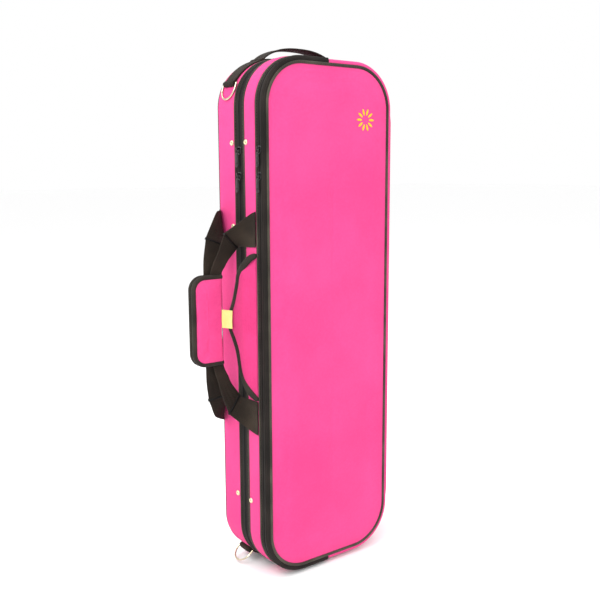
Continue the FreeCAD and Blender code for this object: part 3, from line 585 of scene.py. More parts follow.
# the front panel is cloth over a foam board, crowned from its piping
frontPanel = {"inset": 11.6, "front": 2.2, "back": 5.5, "crown": 3.6, "spread": 16.0, "wobble": 0.35,
              "wave": 230.0, "rimRound": 1.0}
front = buildPiece("frontPanel", panelPoints(**frontPanel), [pinkCanvas, blackTaffeta], None,
                   ["pocket_panel"])
facing = np.empty(len(front.data.polygons) * 3)
front.data.polygons.foreach_get("normal", facing)
# its inner face is lined in black
lined = (facing.reshape(-1, 3)[:, 1] > 0.5).astype(np.int32)
front.data.polygons.foreach_set("material_index", lined)
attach(front, "pocket_cover")

rearPanel = {"inset": 4.6, "front": 122.3, "back": 119.1, "crown": 1.6, "spread": 18.0, "wobble": 0.25,
             "wave": 210.0, "rimRound": 0.8}
rear = buildPiece("rearPanel", panelPoints(**rearPanel), [pinkPadding], "base", ["rear_panel"])


def roundProfile(inset, depth, radius):
    # a circle of twelve points
    angle = np.linspace(0, 2 * math.pi, 12, endpoint=False)
    return np.stack([inset + radius * np.cos(angle), depth + radius * np.sin(angle)], -1)


piping = {"front": {"inset": 9.6, "depth": 2.6, "radius": 2.6},
          "rear": {"inset": 3.3, "depth": 121.4, "radius": 2.4}}
# the front piping is in the paler seam material: a painted highlight along it
ringPiece("frontPiping", roundProfile(**piping["front"]), seamHighlightMaterial, "pocket_cover", ["front_piping"],
          spacing=4.0)
ringPiece("rearPiping", roundProfile(**piping["rear"]), bindingMaterial, "base", ["rear_piping"],
          spacing=4.0)
print("shell made")


zipTape = {"ribHeight": 0.28, "ribPitch": 2.3, "ribStep": 0.55, "beadHeight": 1.5, "beadWidth": 3.4,
           "seamColumns": 5}


def tapeProfile(outer, seam, edge, thick):
    # Zip tape from its stitched seam to its free edge: a corded bead at the seam, then low lengthwise ribs.
    width = abs(edge - seam)
    t = np.linspace(0, width, max(int(width / zipTape["ribStep"]), 8))
    height = zipTape["ribHeight"] * np.abs(np.sin(math.pi * t / zipTape["ribPitch"]))
    bead = zipTape["beadHeight"] * np.sin(math.pi * np.clip(t / zipTape["beadWidth"], 0, 1)) ** 0.7
    height = np.where(t < zipTape["beadWidth"], bead, height)
    depth = seam + (t if edge > seam else -t)
    face = np.stack([outer - height, depth], -1)
    back = np.array([[outer + thick, edge], [outer + thick, (edge + seam) / 2], [outer + thick, seam]])
    return np.vstack([face, back])


ringPiece("lidZipTape", tapeProfile(outer=0.6, seam=lidRear + 0.1, edge=parting - 0.7, thick=0.9),
          tapeMaterial, "lid", ["lid_zip_tape"],
          spacing=5, seamColumns=zipTape["seamColumns"])
ringPiece("baseZipTape", tapeProfile(outer=0.6, seam=baseFront - 0.1, edge=parting + 0.7, thick=0.9),
          tapeMaterial, "base", ["base_zip_tape"],
          spacing=5, seamColumns=zipTape["seamColumns"])
ringPiece("pocketTape", tapeProfile(outer=1.3, seam=lidFront - 0.1, edge=pocketParting + 0.7, thick=1.9),
          tapeMaterial, "lid", ["pocket_tape"],
          zipSpan, seamColumns=zipTape["seamColumns"])
coverProfile = np.vstack([tapeProfile(outer=1.6, seam=1.9, edge=pocketParting - 0.7, thick=1.7),
                          [[8.0, 3.0], [8.4, 1.8], [5.0, 0.9], [3.2, 1.1]]])
ringPiece("pocketCoverTape", coverProfile, tapeMaterial, "pocket_cover", ["pocket_cover_tape"],
          zipSpan)
# past the zip's ends the pocket's wall is pink cloth
gussetProfile = [(3.1, 10.8), (2.1, 10.9), (1.3, 12.5), (1.0, 15.5), (1.2, 18.5), (2.0, 19.8), (3.1, 19.9)]
coverGusset = [(3.1, 9.2), (2.1, 9.1), (1.6, 7.5), (1.8, 4.5), (3.0, 2.4), (5.0, 1.2), (8.4, 1.8),
               (8.2, 3.2), (4.4, 4.4)]
ringPiece("pocketGusset", gussetProfile, pinkCanvas, "lid", ["pocket_tape"], hingeSpan)
ringPiece("pocketCoverGusset", coverGusset, pinkCanvas, "pocket_cover", ["pocket_cover_tape"],
          hingeSpan)

zipCoil = {"pitch": 2.4, "rise": 0.55}


def teethPiece(name, low, high, insetOut, insetIn, body, replaces, span, meeting):
    # A coil of teeth: a low ridge whose height and meeting edge step up and down once a pitch.
    step = zipCoil["pitch"]
    count = int((span[1] - span[0]) / step)
    s = (span[0] + step * (np.arange(count)[:, None] + np.array([0.0, 0.16, 0.5, 0.66])[None])).ravel()
    up = np.tile([0.0, 1.0, 1.0, 0.0], count)[:, None]
    middle = (low + high) / 2
    away = low if meeting > middle else high
    x, z, nx, nz = onOutline(s)
    shoulder, crest = insetIn * 0.4 + insetOut * 0.6, insetOut + 0.1
    inset = np.array([insetIn, shoulder, crest, crest, shoulder, insetIn])[None]
    depth = np.array([away, away, (3 * away + meeting) / 4, (away + 3 * meeting) / 4, meeting, meeting])[None]
    risen = np.array([0, 0.5, 1, 1, 0.7, 0])[None]
    reach = np.array([0, 0, 0, 0.3, 1, 0.4])[None]
    inset = inset + (1 - up) * zipCoil["rise"] * risen
    depth = depth - (1 - up) * reach * 0.6 * np.sign(meeting - away)
    points = np.stack([x[:, None] - inset * nx[:, None], depth, z[:, None] - inset * nz[:, None]], -1)
    return buildPiece(name, points, [coilMaterial], body, replaces, 50)


teethPiece("lidTeeth", low=parting - 2.7, high=parting - 0.05, insetOut=-0.5, insetIn=1.8, body="lid",
           replaces=["lid_chain"], span=mainSpan, meeting=parting - 0.05)
teethPiece("baseTeeth", low=parting + 0.05, high=parting + 2.8, insetOut=-0.5, insetIn=1.8, body="base",
           replaces=["base_chain"], span=mainSpan, meeting=parting + 0.05)
teethPiece("pocketTeethRear", low=pocketParting + 0.1, high=pocketParting + 2.8, insetOut=1.4, insetIn=3.8,
           body="lid", replaces=["pocket_chain_rear"], span=zipSpan, meeting=pocketParting + 0.1)
teethPiece("pocketTeethFront", low=pocketParting - 2.8, high=pocketParting - 0.1, insetOut=1.4, insetIn=3.8,
           body="pocket_cover", replaces=["pocket_chain_front"], span=zipSpan, meeting=pocketParting - 0.1)


def hingeStrip(name, node, low, high, pivot, cord, body, other, material):
    # Fabric hinge: a flat tape across the parting on the side away from the handle. A cord under it raises
    # its middle by cord times a bell curve of the distance from the hinge line.
    a, b = nodeBox(node)
    inner = a[0]
    steps = np.linspace(low, high, 13)
    bulge = np.exp(-((steps - pivot) / 2.2) ** 2) * cord
    face = np.stack([np.full(13, inner + 1.1) + bulge, steps], -1)
    back = np.stack([np.full(13, inner + 0.1), steps], -1)[::-1]
    profile = np.vstack([face, back])
    heights = np.linspace(a[2], b[2], 90)
    taper = np.clip(np.minimum(heights - a[2], b[2] - heights) / 14, 0, 1)[:, None]
    across = inner - 0.9 + (profile[None, :, 0] - inner + 0.9) * (0.15 + 0.85 * taper)
    points = np.stack([across, *np.broadcast_arrays(profile[None, :, 1], heights[:, None])], -1)
    start, end = toFrame([inner, pivot + 1.2, 0]), toFrame([inner, pivot - 1.2, 0])
    buildPiece(name, points, [material], None, [node],
               blendTo=(body, other, tuple(start), tuple(end)))


hingeStrip("mainHingeStrip", "main_hinge_tape", low=48.2, high=73.8, pivot=parting, cord=0.7, body="base",
           other="lid", material=tapeMaterial)
hingeStrip("pocketHingeStrip", "pocket_hinge_tape", low=3.2, high=16.8, pivot=pocketParting, cord=0.4,
           body="lid", other="pocket_cover", material=pinkCanvas)
print("zips made")


# the handle: two webbing straps and the padded wrap round them
gripLow, gripHigh = nodeBox("wrap_front")
wrapTop, wrapBottom = gripHigh[2], gripLow[2]
strap = {"thick": 2.2, "wallX": -halfWidth - 1.6, "creaseOut": 1.0, "creaseWide": 2.3, "creaseDeep": 1.8}
# Each strap's two legs, as their two edges: points as distance out from the wall, depth and height. A leg
# runs from its seam along the wall, round a diagonal fold and into the wrap.
handleStraps = {
    "lidStrap": {"body": "lid", "node": "lid_strap", "gripDepth": 67.4, "foldAt": 4, "legs": (
        ([(0, 19, 172), (3, 27, 168.5), (13, 38, 158), (30, 49, 143.5), (33, 50.5, 140), (34.5, 52, 135),
         (40, 58, 113), (45.4, 63, 97), (48.9, 66, 82), (50.4, 67.4, 60)],
         [(0, 19, 120.5), (0.3, 30, 120), (1.2, 45, 119.6), (3.4, 60, 119.6), (3.8, 63.5, 117.5),
         (6.5, 65, 112.5), (18, 66, 100), (24.4, 66.5, 90), (30.4, 67, 79), (32, 67.4, 60)]),
        ([(0, 19, -164), (3, 27, -161), (12, 38, -152), (27, 49, -136.5), (30, 51, -133), (31.5, 53, -128),
         (38, 58, -105), (41.4, 63, -84), (46.4, 66, -64), (49.4, 67.4, -38)],
         [(0, 19, -112.5), (0.3, 30, -112.3), (1.2, 45, -112), (3, 59, -112.4), (3.4, 63, -110.5),
         (6.5, 65, -105), (17, 66, -90), (22.4, 66.5, -77), (28.9, 67, -62), (31.8, 67.4, -38)]),
    )},
    "baseStrap": {"body": "base", "node": "base_strap", "gripDepth": 70.6, "foldAt": 5, "legs": (
        ([(0, 118, 172), (5, 109, 171), (15, 102, 169), (29, 94.5, 152), (41, 88.5, 136), (43.5, 87, 132),
         (45.5, 85, 126), (53, 78, 104), (56.4, 73.6, 86), (57.9, 70.6, 60)],
         [(0, 118, 120.5), (0.3, 108, 120), (0.8, 98, 119.7), (2, 88, 119.6), (4.5, 79, 119), (6, 77, 116),
         (9, 76, 111), (22, 75, 97), (31.4, 73, 82), (32, 70.6, 60)]),
        ([(0, 118, -164), (7, 109, -160), (20, 98, -153.5), (31, 93.5, -146), (39, 91, -128),
         (43.5, 90, -118), (45, 88, -112), (52, 80, -88), (55.9, 73.6, -66), (57.9, 70.6, -38)],
         [(0, 118, -112.5), (0.3, 108, -112.2), (0.8, 98, -112), (2, 88, -112), (4.5, 79, -111.5),
         (6, 77, -108.5), (9, 76, -103), (22, 75, -84), (30.9, 73, -64), (31.8, 70.6, -38)]),
    )},
}


def strapEdge(points):
    # out from the wall, depth and height as a place on the case
    points = np.array(points, float)
    return np.column_stack([strap["wallX"] - points[:, 0], points[:, 1:]])


def gripCore(depth):
    # the two strap ends meet inside the wrap as one flat band
    a = [(-176, depth, 62), (-177, depth, 9), (-176, depth, -40)]
    b = [(-157.6, depth, 62), (-157.8, depth, 9), (-157.6, depth, -40)]
    return strapPoints(a, b, strap["thick"], rows=12, across=5)


for name, made in handleStraps.items():
    skins = []
    for edges in made["legs"]:
        a, b = (strapEdge(edge) for edge in edges)
        skins.append((skinData(strapPoints(a, b, strap["thick"], rows=110, across=11)), 0))
        # the rolled crease is a tube in the near-black coil material: painted shade along the fold
        fold = np.linspace(a[made["foldAt"]], b[made["foldAt"]], 20) - [strap["creaseOut"], 0, 0]
        skins.append((skinData(tubePoints(fold, wide=strap["creaseWide"], deep=strap["creaseDeep"],
                                          reference=(1, 0, 0), sides=10)), 1))
    skins.append((skinData(gripCore(made["gripDepth"])), 0))
    buildPiece(name, skins, [webbingMaterial, coilMaterial], made["body"], [made["node"]], 60)

wrap = {"corner": 20.0, "bindingWide": 3.7, "bindingDeep": 3.7, "leafInset": 3.2, "crown": 2.2,
        "reach": 44.0, "outer": -206.6, "inner": -157.0}


def wrapOutline(inset):
    # the wrap's edge from its fold at the top round the two outer corners and back to the fold
    corner, outer, inner = wrap["corner"] - inset, wrap["outer"] + inset, wrap["inner"]
    top, bottom = wrapTop + 1.0 - inset, wrapBottom - 1.0 + inset
    turn = np.linspace(0, math.pi / 2, 26)
    start = np.array([[inner, top]])
    upper = np.stack([outer + corner - corner * np.sin(turn), top - corner + corner * np.cos(turn)], -1)
    side = np.stack([np.full(24, outer), np.linspace(top - corner, bottom + corner, 26)[1:-1]], -1)
    lower = np.stack([outer + corner - corner * np.cos(turn), bottom + corner - corner * np.sin(turn)], -1)
    mid = np.linspace(inner, outer + corner, 8)[1:-1]
    topRun = np.stack([mid, np.full(6, top)], -1)
    lowRun = np.stack([mid[::-1], np.full(6, bottom)], -1)
    return np.vstack([start, topRun, upper, side, lower, lowRun, [[inner, bottom]]])


def wrapSkin(front, back, crown):
    # A padded leaf: rings shrink from its edge to its middle; the front swells by crown times the square
    # root of the share of the way in, with two soft diagonal folds.
    edge = wrapOutline(wrap["leafInset"])
    fold = np.stack([np.full(30, wrap["inner"]), np.linspace(edge[-1, 1], edge[0, 1], 32)[1:-1]], -1)
    loop = np.vstack([edge, fold])
    centre = np.array([loop[:, 0].mean() + 1, (wrapTop + wrapBottom) / 2])
    heights = np.clip(loop[:, 1], centre[1] - wrap["reach"], centre[1] + wrap["reach"])
    middle = np.stack([np.full(len(loop), centre[0]), heights], -1)
    share = np.concatenate([np.linspace(0.04, 0.9, 15), [0.95, 0.985, 1.0]])

    def layer(level, bulge, order):
        flat = middle[None] + (loop - middle)[None] * order[:, None, None]
        swell = bulge * np.sqrt(np.clip(1 - order[:, None] ** 3, 0, 1))
        x, z = flat[..., 0], flat[..., 1]
        creases = 0.7 * np.sin((0.8 * z + x) / 11.0) * np.exp(-((z - wrapBottom - 22) / 26) ** 2)
        creases += 0.45 * np.sin((z - 0.9 * x) / 9.0) * np.exp(-((z - wrapTop + 20) / 24) ** 2)
        fade = np.clip(1 - order[:, None], 0, 1) * np.sign(bulge)
        y = level + np.sign(level - back) * swell + creases * fade
        return np.stack([x, np.broadcast_to(y, x.shape), z], -1)

    return np.concatenate([layer(front, crown, share), layer(back, 0, share[::-1])], 0)


def wrapHalf(name, node, binding, front, back, cordAt, body):
    leaf = buildPiece(name, wrapSkin(front, back, wrap["crown"]), [pinkPadding], None, [node])
    puff(leaf, pressure=3.0, cap=1.6)
    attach(leaf, body)
    edge = wrapOutline(wrap["bindingWide"] - 1.6)
    path = np.column_stack([edge[:, 0], np.full(len(edge), cordAt), edge[:, 1]])
    bound = tubePoints(path, wide=wrap["bindingWide"], deep=wrap["bindingDeep"], reference=(0, 1, 0),
                       sides=12)
    buildPiece(name + "Binding", bound, [bindingMaterial], body, [binding])


wrapHalf("wrapFront", "wrap_front", "wrap_binding_front", front=63.6, back=66.1, cordAt=64.8, body="lid")
wrapHalf("wrapBack", "wrap_back", "wrap_binding_back", front=74.4, back=71.9, cordAt=73.2, body="base")
for node, name, body in (("wrap_loop_tape", "loopTape", "lid"), ("wrap_hook_tape", "hookTape", "base")):
    a, b = nodeBox(node)
    xs, zs = np.linspace(a[0], b[0], 9), np.linspace(a[2], b[2], 60)
    low, high = a[1] + 0.25, b[1] - 0.25  # the ends of the section are narrower than its middle
    section = [(a[0], low), (a[0], high), *((x, b[1]) for x in xs), (b[0], high), (b[0], low)]
    section = np.array(section + [(x, a[1]) for x in xs[::-1]])
    points = np.stack([*np.broadcast_arrays(section[None, :, 0], section[None, :, 1], zs[:, None])], -1)
    buildPiece(name, points, [hookMaterial], body, [node], 40)
print("handle made")

# the flap over the main zip: its bound edge as depth, height and place across
flapEdge = np.array([(18.6, 108.5, -125.4), (23, 107, -127.4), (31, 102, -131.0), (43, 90, -134.0),
                     (52, 77, -134.5), (57, 66, -133.0), (61.5, 54, -132.5),
                     (67, 36, -133.2), (73.5, 21, -134.2), (77.5, 11, -134.8), (78.5, 4, -135.0),
                     (76.5, -8, -134.6), (68.5, -22, -133.5), (59.5, -41, -132.8),
                     (53, -67, -132.4), (45, -84, -132.0), (36, -98, -130.5), (24, -106.5, -127.2),
                     (18.6, -108, -125.4)])
flapCloth = {"root": (107, -106), "rootDepth": 20.5, "thick": 1.7, "rows": 90, "across": 22}


def flapSkin():
    # The flap is a sheet between its root on the wall and its bound edge; it leaves the wall in a soft curve
    # and stands off it, a little more towards the top.
    edge = smoothLine(flapEdge, flapCloth["rows"])
    rootZ = np.linspace(*flapCloth["root"], flapCloth["rows"])
    t = np.linspace(0, 1, flapCloth["across"])[None]
    y = flapCloth["rootDepth"] + (edge[:, :1] - flapCloth["rootDepth"]) * t
    z = rootZ[:, None] + (edge[:, 1:2] - rootZ[:, None]) * t ** 0.8
    rise = np.clip((y - flapCloth["rootDepth"]) / 26, 0, 1)
    x = -halfWidth - 1.0 - (np.abs(edge[:, 2:]) - halfWidth - 1.0) * rise * rise * (3 - 2 * rise)
    x = x - np.sin(math.pi * t) * (1.6 * np.exp(-((z - 62) / 30) ** 2) + 0.9 * np.sin(z / 17.0))
    face = np.stack([x, y, z], -1)
    inner = face + [flapCloth["thick"], 0, 0]
    return np.concatenate([face, inner[:, ::-1]], 1), edge


flapPoints, flapRim = flapSkin()
# the flap wears the deeper pink, which is painted shade
flap = buildPiece("securityFlap", flapPoints, [shadedFlapCloth], "lid", ["security_flap"], 60)
rimPath = np.column_stack([flapRim[:, 2] + 0.9, flapRim[:, 0], flapRim[:, 1]])
rimWide = 5.3 - 2.9 * np.abs(np.linspace(-1, 1, len(rimPath))) ** 10  # slimmer at its two ends
buildPiece("flapBinding", tubePoints(rimPath, wide=rimWide, deep=2.3, reference=(0.85, 0.5, 0), sides=14),
           [bindingMaterial], "lid",
           ["flap_binding"])
labelLow, labelHigh = nodeBox("label_tab")


def labelSkin():
    # a small folded label: a flat leaf, bowed a little and doubled at its outer edge
    zs = np.linspace(labelLow[2] - 8, labelHigh[2] - 4, 12)
    out, z = np.meshgrid(np.linspace(0, 1, 14), zs, indexing="ij")
    curl = 0.5 * np.sin((z - zs[0]) / 6)
    outer = np.stack([labelLow[0] - 5.0 - 8.0 * out ** 1.4 - curl, 69.0 + 34 * out, z + 1.5 - 1.6 * out], -1)
    return np.concatenate([outer, (outer + [0.9, 0, 0])[:, ::-1]], 1)


buildPiece("labelTab", labelSkin(), [labelMaterial], "lid", ["label_tab"], 60)
print("flap made")

eyelet = {"fromEnd": 4.0, "inner": (-151.7, 147.7), "sunk": 0.2,
          "rim": [(1.9, 1.3), (2.1, 2.7), (2.4, 3.1), (3.4, 2.7), (4.1, 1.5), (4.2, 0.2)],
          "pin": [(0.1, 1.9), (1.4, 1.8), (1.95, 1.3), (2.0, 0.0)]}
for node, name, body, inner in (("lid_rivets", "lidEyelets", "lid", ()),
                                ("base_rivets", "baseEyelets", "base", eyelet["inner"])):
    low, high = nodeBox(node)
    skins = []
    for z in (low[2] + eyelet["fromEnd"], *inner, high[2] - eyelet["fromEnd"]):
        centre = (-halfWidth + eyelet["sunk"], (low[1] + high[1]) / 2, z)
        skins.append((skinData(spunPoints(eyelet["rim"], centre, (-1, 0, 0))), 0))
        skins.append((skinData(spunPoints(eyelet["pin"], centre, (-1, 0, 0), 12)), 1))
    buildPiece(name, skins, [eyeletMaterial, centreMaterial], body, [node])
footProfile = [(2.2, -5.0), (4.0, -4.9), (5.5, -4.2), (6.4, -2.6), (7.4, -1.4), (8.0, -0.5), (8.0, 0.4)]
for node, name, body, depth in (("lid_feet", "lidFeet", "lid", 34), ("base_feet", "baseFeet", "base", 97)):
    feet = [spunPoints(footProfile, (x, depth, -halfLength), (0, 0, 1), 28) for x in (-56, 56)]
    buildPiece(name, [(skinData(foot), 0) for foot in feet], [brassMaterial], body, [node])

archLow, archHigh = nodeBox("end_handle")
archTop = archHigh[2]
arch = {"half": 70.0, "wide": 30.0, "thick": 2.6, "rows": 64, "under": 6.2, "clear": 1.4,
        "middle": (archLow[1] + archHigh[1]) / 2}


def archSkin():
    # webbing bowed up over the end in a flattened arch, narrowing a little at its top
    t = np.linspace(-1, 1, arch["rows"])
    x = arch["half"] * t
    ground = onOutline(-x)[1]
    bow = archTop - halfLength - arch["under"]
    z = np.minimum(ground, halfLength) + arch["clear"] + bow * (1 - np.abs(t) ** 2.5)
    pinch = 1 - 0.10 * (1 - np.abs(t) ** 1.5)
    half = arch["wide"] / 2 * pinch
    a = np.stack([x, arch["middle"] - half, z - 0.6 * (1 - t ** 2)], -1)
    b = np.stack([x, arch["middle"] + half, z - 0.6 * (1 - t ** 2)], -1)
    return strapPoints(a, b, arch["thick"], rows=arch["rows"], across=11, cup=-1.0)


tab = {"thick": 3.2, "steps": 48, "lift": 1.5, "lastLift": 2.6, "wide": 30.0}


def tabLift(t):
    # low along its stitched length, rising at its last part to meet the ring
    return tab["lift"] + tab["lastLift"] * t ** 4


def outlineStrap(name, node, s0, s1, lift, widths, body, loop=None):
    # a strap laid along the outline from s0 to s1; loop adds the turned end that holds a ring
    low, high = nodeBox(node)
    middle = (low[1] + high[1]) / 2
    s = np.linspace(s0, s1, tab["steps"])
    x, z, nx, nz = onOutline(s)
    t = np.linspace(0, 1, tab["steps"])
    width, standOff = np.interp(t, *widths), lift(t)
    px, pz = x + nx * standOff, z + nz * standOff
    a = np.stack([px, middle - width / 2, pz], -1)
    b = np.stack([px, middle + width / 2, pz], -1)
    skins = [(skinData(strapPoints(a, b, tab["thick"], rows=60, across=9)), 0)]
    if loop is not None:
        skins.append((skinData(loop), 0))
    return buildPiece(name, skins, [webbingMaterial], body, [node], 60)


upperRingLow, upperRingHigh = nodeBox("upper_ring")
ringMiddle = (upperRingLow[1] + upperRingHigh[1]) / 2


def loopAround(x, z, middle, radius, wide):
    # webbing turned once round a ring's straight side
    angle = np.linspace(0, 2 * math.pi, 18, endpoint=False)
    ys = np.linspace(middle - wide / 2, middle + wide / 2, 12)
    squash = 1 - 0.25 * np.abs(np.linspace(-1, 1, 12)) ** 6
    px = x + radius * np.cos(angle)[None] * squash[:, None]
    pz = z + radius * 0.9 * np.sin(angle)[None] * squash[:, None]
    return np.stack([px, np.broadcast_to(ys[:, None], px.shape), pz], -1)


footLoops = [(skinData(loopAround(x, float(onOutline(x)[1]) + 2.6, arch["middle"], radius=3.0, wide=31.0)), 0)
             for x in (-arch["half"], arch["half"])]
buildPiece("endHandle", [(skinData(archSkin()), 0)] + footLoops, [webbingMaterial], "base", ["end_handle"],
           60)
cornerStart = halfWidth - cornerRadius
upperPivot, lowerPivot = (-118.5, 358.4), (-102.4, -379.0)
upperEnd = cornerStart + cornerRadius * math.radians(61)
lowerStart = bottomMiddle - cornerStart - cornerRadius * math.radians(45)
outlineStrap("upperRingTab", "upper_ring_tab", s0=44.0, s1=upperEnd, lift=tabLift,
             widths=([0, 0.55, 1], [30, 29, 26]), body="base",
             loop=loopAround(*upperPivot, ringMiddle, 5.4, 28.0))
outlineStrap("lowerRingTab", "lower_ring_tab", s0=bottomMiddle - 40.0, s1=lowerStart, lift=tabLift,
             widths=([0, 0.5, 1], [30, 29, 26]), body="base",
             loop=loopAround(*lowerPivot, ringMiddle, 5.8, 30.0))
outlineStrap("endHandleTab", "end_handle_tab", s0=perimeter - 46.0, s1=perimeter - 46.0 - 60,
             lift=lambda t: tab["lift"] + 0.4 * np.sin(math.pi * t), widths=([0, 1], [30, 29]), body="base")
for node in ("upper_ring", "lower_ring"):
    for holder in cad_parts[node].material_slots:
        holder.material = nickelMaterial
print("hardware made")

slider = {"wings": 5.4, "tail": 3.7, "long": 12.0, "pinDown": 3.0}


def sliderSkins(wallX, pinX, depth, zTop):
    # The body is a stack of shield-shaped rings, wide at the top and narrow at the tail. The bridge is a bar
    # that arches from its top to its tail, and two lugs beside it hold the pull's pin.
    angle = np.linspace(0, 2 * math.pi, 28, endpoint=False)
    up = np.sin(angle)
    half = slider["long"] / 2
    wide = slider["tail"] + (slider["wings"] - slider["tail"]) * (0.5 + 0.5 * np.clip(up * 1.4, -1, 1))
    y = depth + wide * np.sign(np.cos(angle)) * np.abs(np.cos(angle)) ** 0.6
    z = zTop - half + half * np.sign(up) * np.abs(up) ** 0.6
    rows = []
    for out, scale in ((-0.4, 0.98), (0.9, 1.0), (1.4, 0.94), (1.6, 0.80)):
        middle = zTop - half
        rows.append(np.stack([np.full(28, wallX - out), depth + (y - depth) * scale,
                              middle + (z - middle) * scale], -1))
    t = np.linspace(0, 1, 18)
    arc = np.stack([wallX - 1.2 - 2.3 * np.sin(math.pi * t) ** 0.7, np.full(18, depth),
                    zTop - 1.6 - 8.6 * t], -1)
    pinZ = zTop - slider["pinDown"]
    skins = [(skinData(np.array(rows)), 0), (skinData(tubePoints(arc, wide=1.3, deep=0.7,
                                                                 reference=(1, 0, 0), sides=8)), 0)]
    for side in (-2.2, 2.2):
        lug = np.stack([np.linspace(wallX - 1.0, pinX - 0.6, 8), np.full(8, depth + side), np.full(8, pinZ)],
                       -1)
        skins.append((skinData(tubePoints(lug, wide=0.5, deep=1.3, reference=(0, 0, 1), sides=10)), 0))
    pin = np.stack([np.full(6, pinX), np.linspace(depth - 2.7, depth + 2.7, 6), np.full(6, pinZ)], -1)
    return skins + [(skinData(tubePoints(pin, wide=0.65, deep=0.65, reference=(1, 0, 0), sides=10)), 0)]


def pullSkins(pinX, depth, pinZ, long):
    # A slim moulded tag, narrow at its neck and full towards its end, hangs from an oval eye. The eye's hub
    # turns round the slider's pin, and a raised oval bead lies on the tag's end.
    t = np.linspace(0, 1, 30)
    half = np.interp(t, [0, 0.05, 0.2, 0.45, 0.75, 0.93, 1], [1.0, 2.4, 3.0, 3.8, 4.0, 3.0, 0.9])
    deep = np.interp(t, [0, 0.06, 0.3, 0.7, 0.95, 1], [0.4, 1.3, 0.8, 0.9, 1.4, 0.3])
    z = pinZ - 6.0 - (long - 6.0) * t
    angle = np.linspace(0, 2 * math.pi, 16, endpoint=False)
    flat = np.abs(np.cos(angle)) ** 0.7 * np.sign(np.cos(angle))
    tag = np.stack([pinX - 0.2 + deep[:, None] * np.sin(angle)[None], depth + half[:, None] * flat[None],
                    np.repeat(z[:, None], 16, 1)], -1)
    turn = np.linspace(0, 2 * math.pi, 24, endpoint=False)
    eye = np.stack([np.full(24, pinX - 0.1), depth + 2.3 * np.sin(turn), pinZ - 5.0 + 3.0 * np.cos(turn)], -1)
    hub = np.stack([pinX + 1.3 * np.sin(turn), np.full(24, depth), pinZ + 1.3 * np.cos(turn)], -1)
    bead = np.stack([np.full(24, pinX - 1.1), depth + 1.6 * np.sin(turn),
                     pinZ - 0.80 * long + 2.0 * np.cos(turn)], -1)
    rings = [tubePoints(eye, wide=0.75, deep=0.75, reference=(1, 0, 0), sides=8, closed=True),
             tubePoints(bead, wide=0.5, deep=0.5, reference=(1, 0, 0), sides=8, closed=True),
             tubePoints(hub, wide=0.45, deep=1.2, reference=(0, 1, 0), sides=8, closed=True)]
    return [(skinData(tag), 0)] + [(skinData(ring, wrapRows=True), 0) for ring in rings]


for zipName, wallInset in (("main", 0.4), ("pocket", 1.6)):
    for level in ("upper", "lower"):
        sliderNode, pullNode = "%s_slider_%s" % (zipName, level), "%s_pull_%s" % (zipName, level)
        low, high = nodeBox(sliderNode)
        pullLow, pullHigh = nodeBox(pullNode)
        depth, pinX = (low[1] + high[1]) / 2, (pullLow[0] + pullHigh[0]) / 2
        pinZ = high[2] - slider["pinDown"]
        buildPiece("%sSlider_%s" % (zipName, level), sliderSkins(-halfWidth + wallInset, pinX, depth,
                                                                 high[2]),
                   [zincMaterial], sliderNode + "_body", [sliderNode], 50)
        buildPiece("%sPull_%s" % (zipName, level), pullSkins(pinX, depth, pinZ, pinZ - pullLow[2] - 0.4),
                   [zincMaterial], pullNode + "_body", [pullNode], 50)
print("sliders made")

# embroidery on the front: a plain ring of short satin stitches
motif = {"x": 66.0, "depth": -1.35, "z": 307.0, "inner": 7.0, "outer": 17.0, "petals": 10}
skins = []
for k in range(motif["petals"]):
    turn = 2 * math.pi * k / motif["petals"]
    way = np.array([math.cos(turn), 0, math.sin(turn)])
    t = np.linspace(0, 1, 12)[:, None]
    reach = motif["inner"] + (motif["outer"] - motif["inner"]) * t
    path = np.array([motif["x"], motif["depth"], motif["z"]]) + way * reach
    ring = tubePoints(path, wide=1.0, deep=1.0, reference=(0, 1, 0), sides=10)
    swell = np.sin(math.pi * (0.06 + 0.88 * t)) ** 0.6
    bulge = (ring - path[:, None]) * swell[:, :, None] * [1.9, 0.55, 1.9]  # flattened satin, fullest half way
    skins.append((skinData(path[:, None] + bulge), 0))
buildPiece("stitchedMotif", skins, [threadMaterial], "pocket_cover", [])

stitch = {"pitch": 4.2, "long": 2.9, "radius": 0.34}


def stitchSkin(middles, ways, outs):
    # Thread stitches as one skin each: three hexagons and two poles, laid along `ways` and sunk half way in.
    turn = np.linspace(0, 2 * math.pi, 6, endpoint=False)
    skins = []
    for middle, way, out in zip(middles, ways, outs):
        side = np.cross(way, out)
        rows = [middle + way * stitch["long"] * at / 2 + stitch["radius"] * size
                * (np.cos(turn)[:, None] * side + np.sin(turn)[:, None] * out)
                for at, size in ((-1, 0.35), (-0.6, 1), (0.6, 1), (1, 0.35))]
        skins.append((skinData(np.array(rows)), 0))
    return skins


def stitchRow(name, inset, depth, body, span=None):
    # one row of stitches round the case at a depth
    start, stop = span or (0, perimeter)
    s = np.arange(start + 2, stop - 2, stitch["pitch"])
    x, z, nx, nz = onOutline(s)
    out = np.stack([nx, np.zeros(len(s)), nz], -1)
    way = np.stack([-nz, np.zeros(len(s)), nx], -1)
    middles = np.stack([x - inset * nx, np.full(len(s), depth), z - inset * nz], -1)
    buildPiece(name, stitchSkin(middles, way, out), [stitchMaterial], body, [])


stitchRow("lidSeamStitches", 0.05, 51.6, "lid")
stitchRow("baseSeamStitches", 0.05, 70.4, "base")
stitchRow("pocketSeamStitches", 0.85, 15.4, "lid", zipSpan)
print("stitches made")

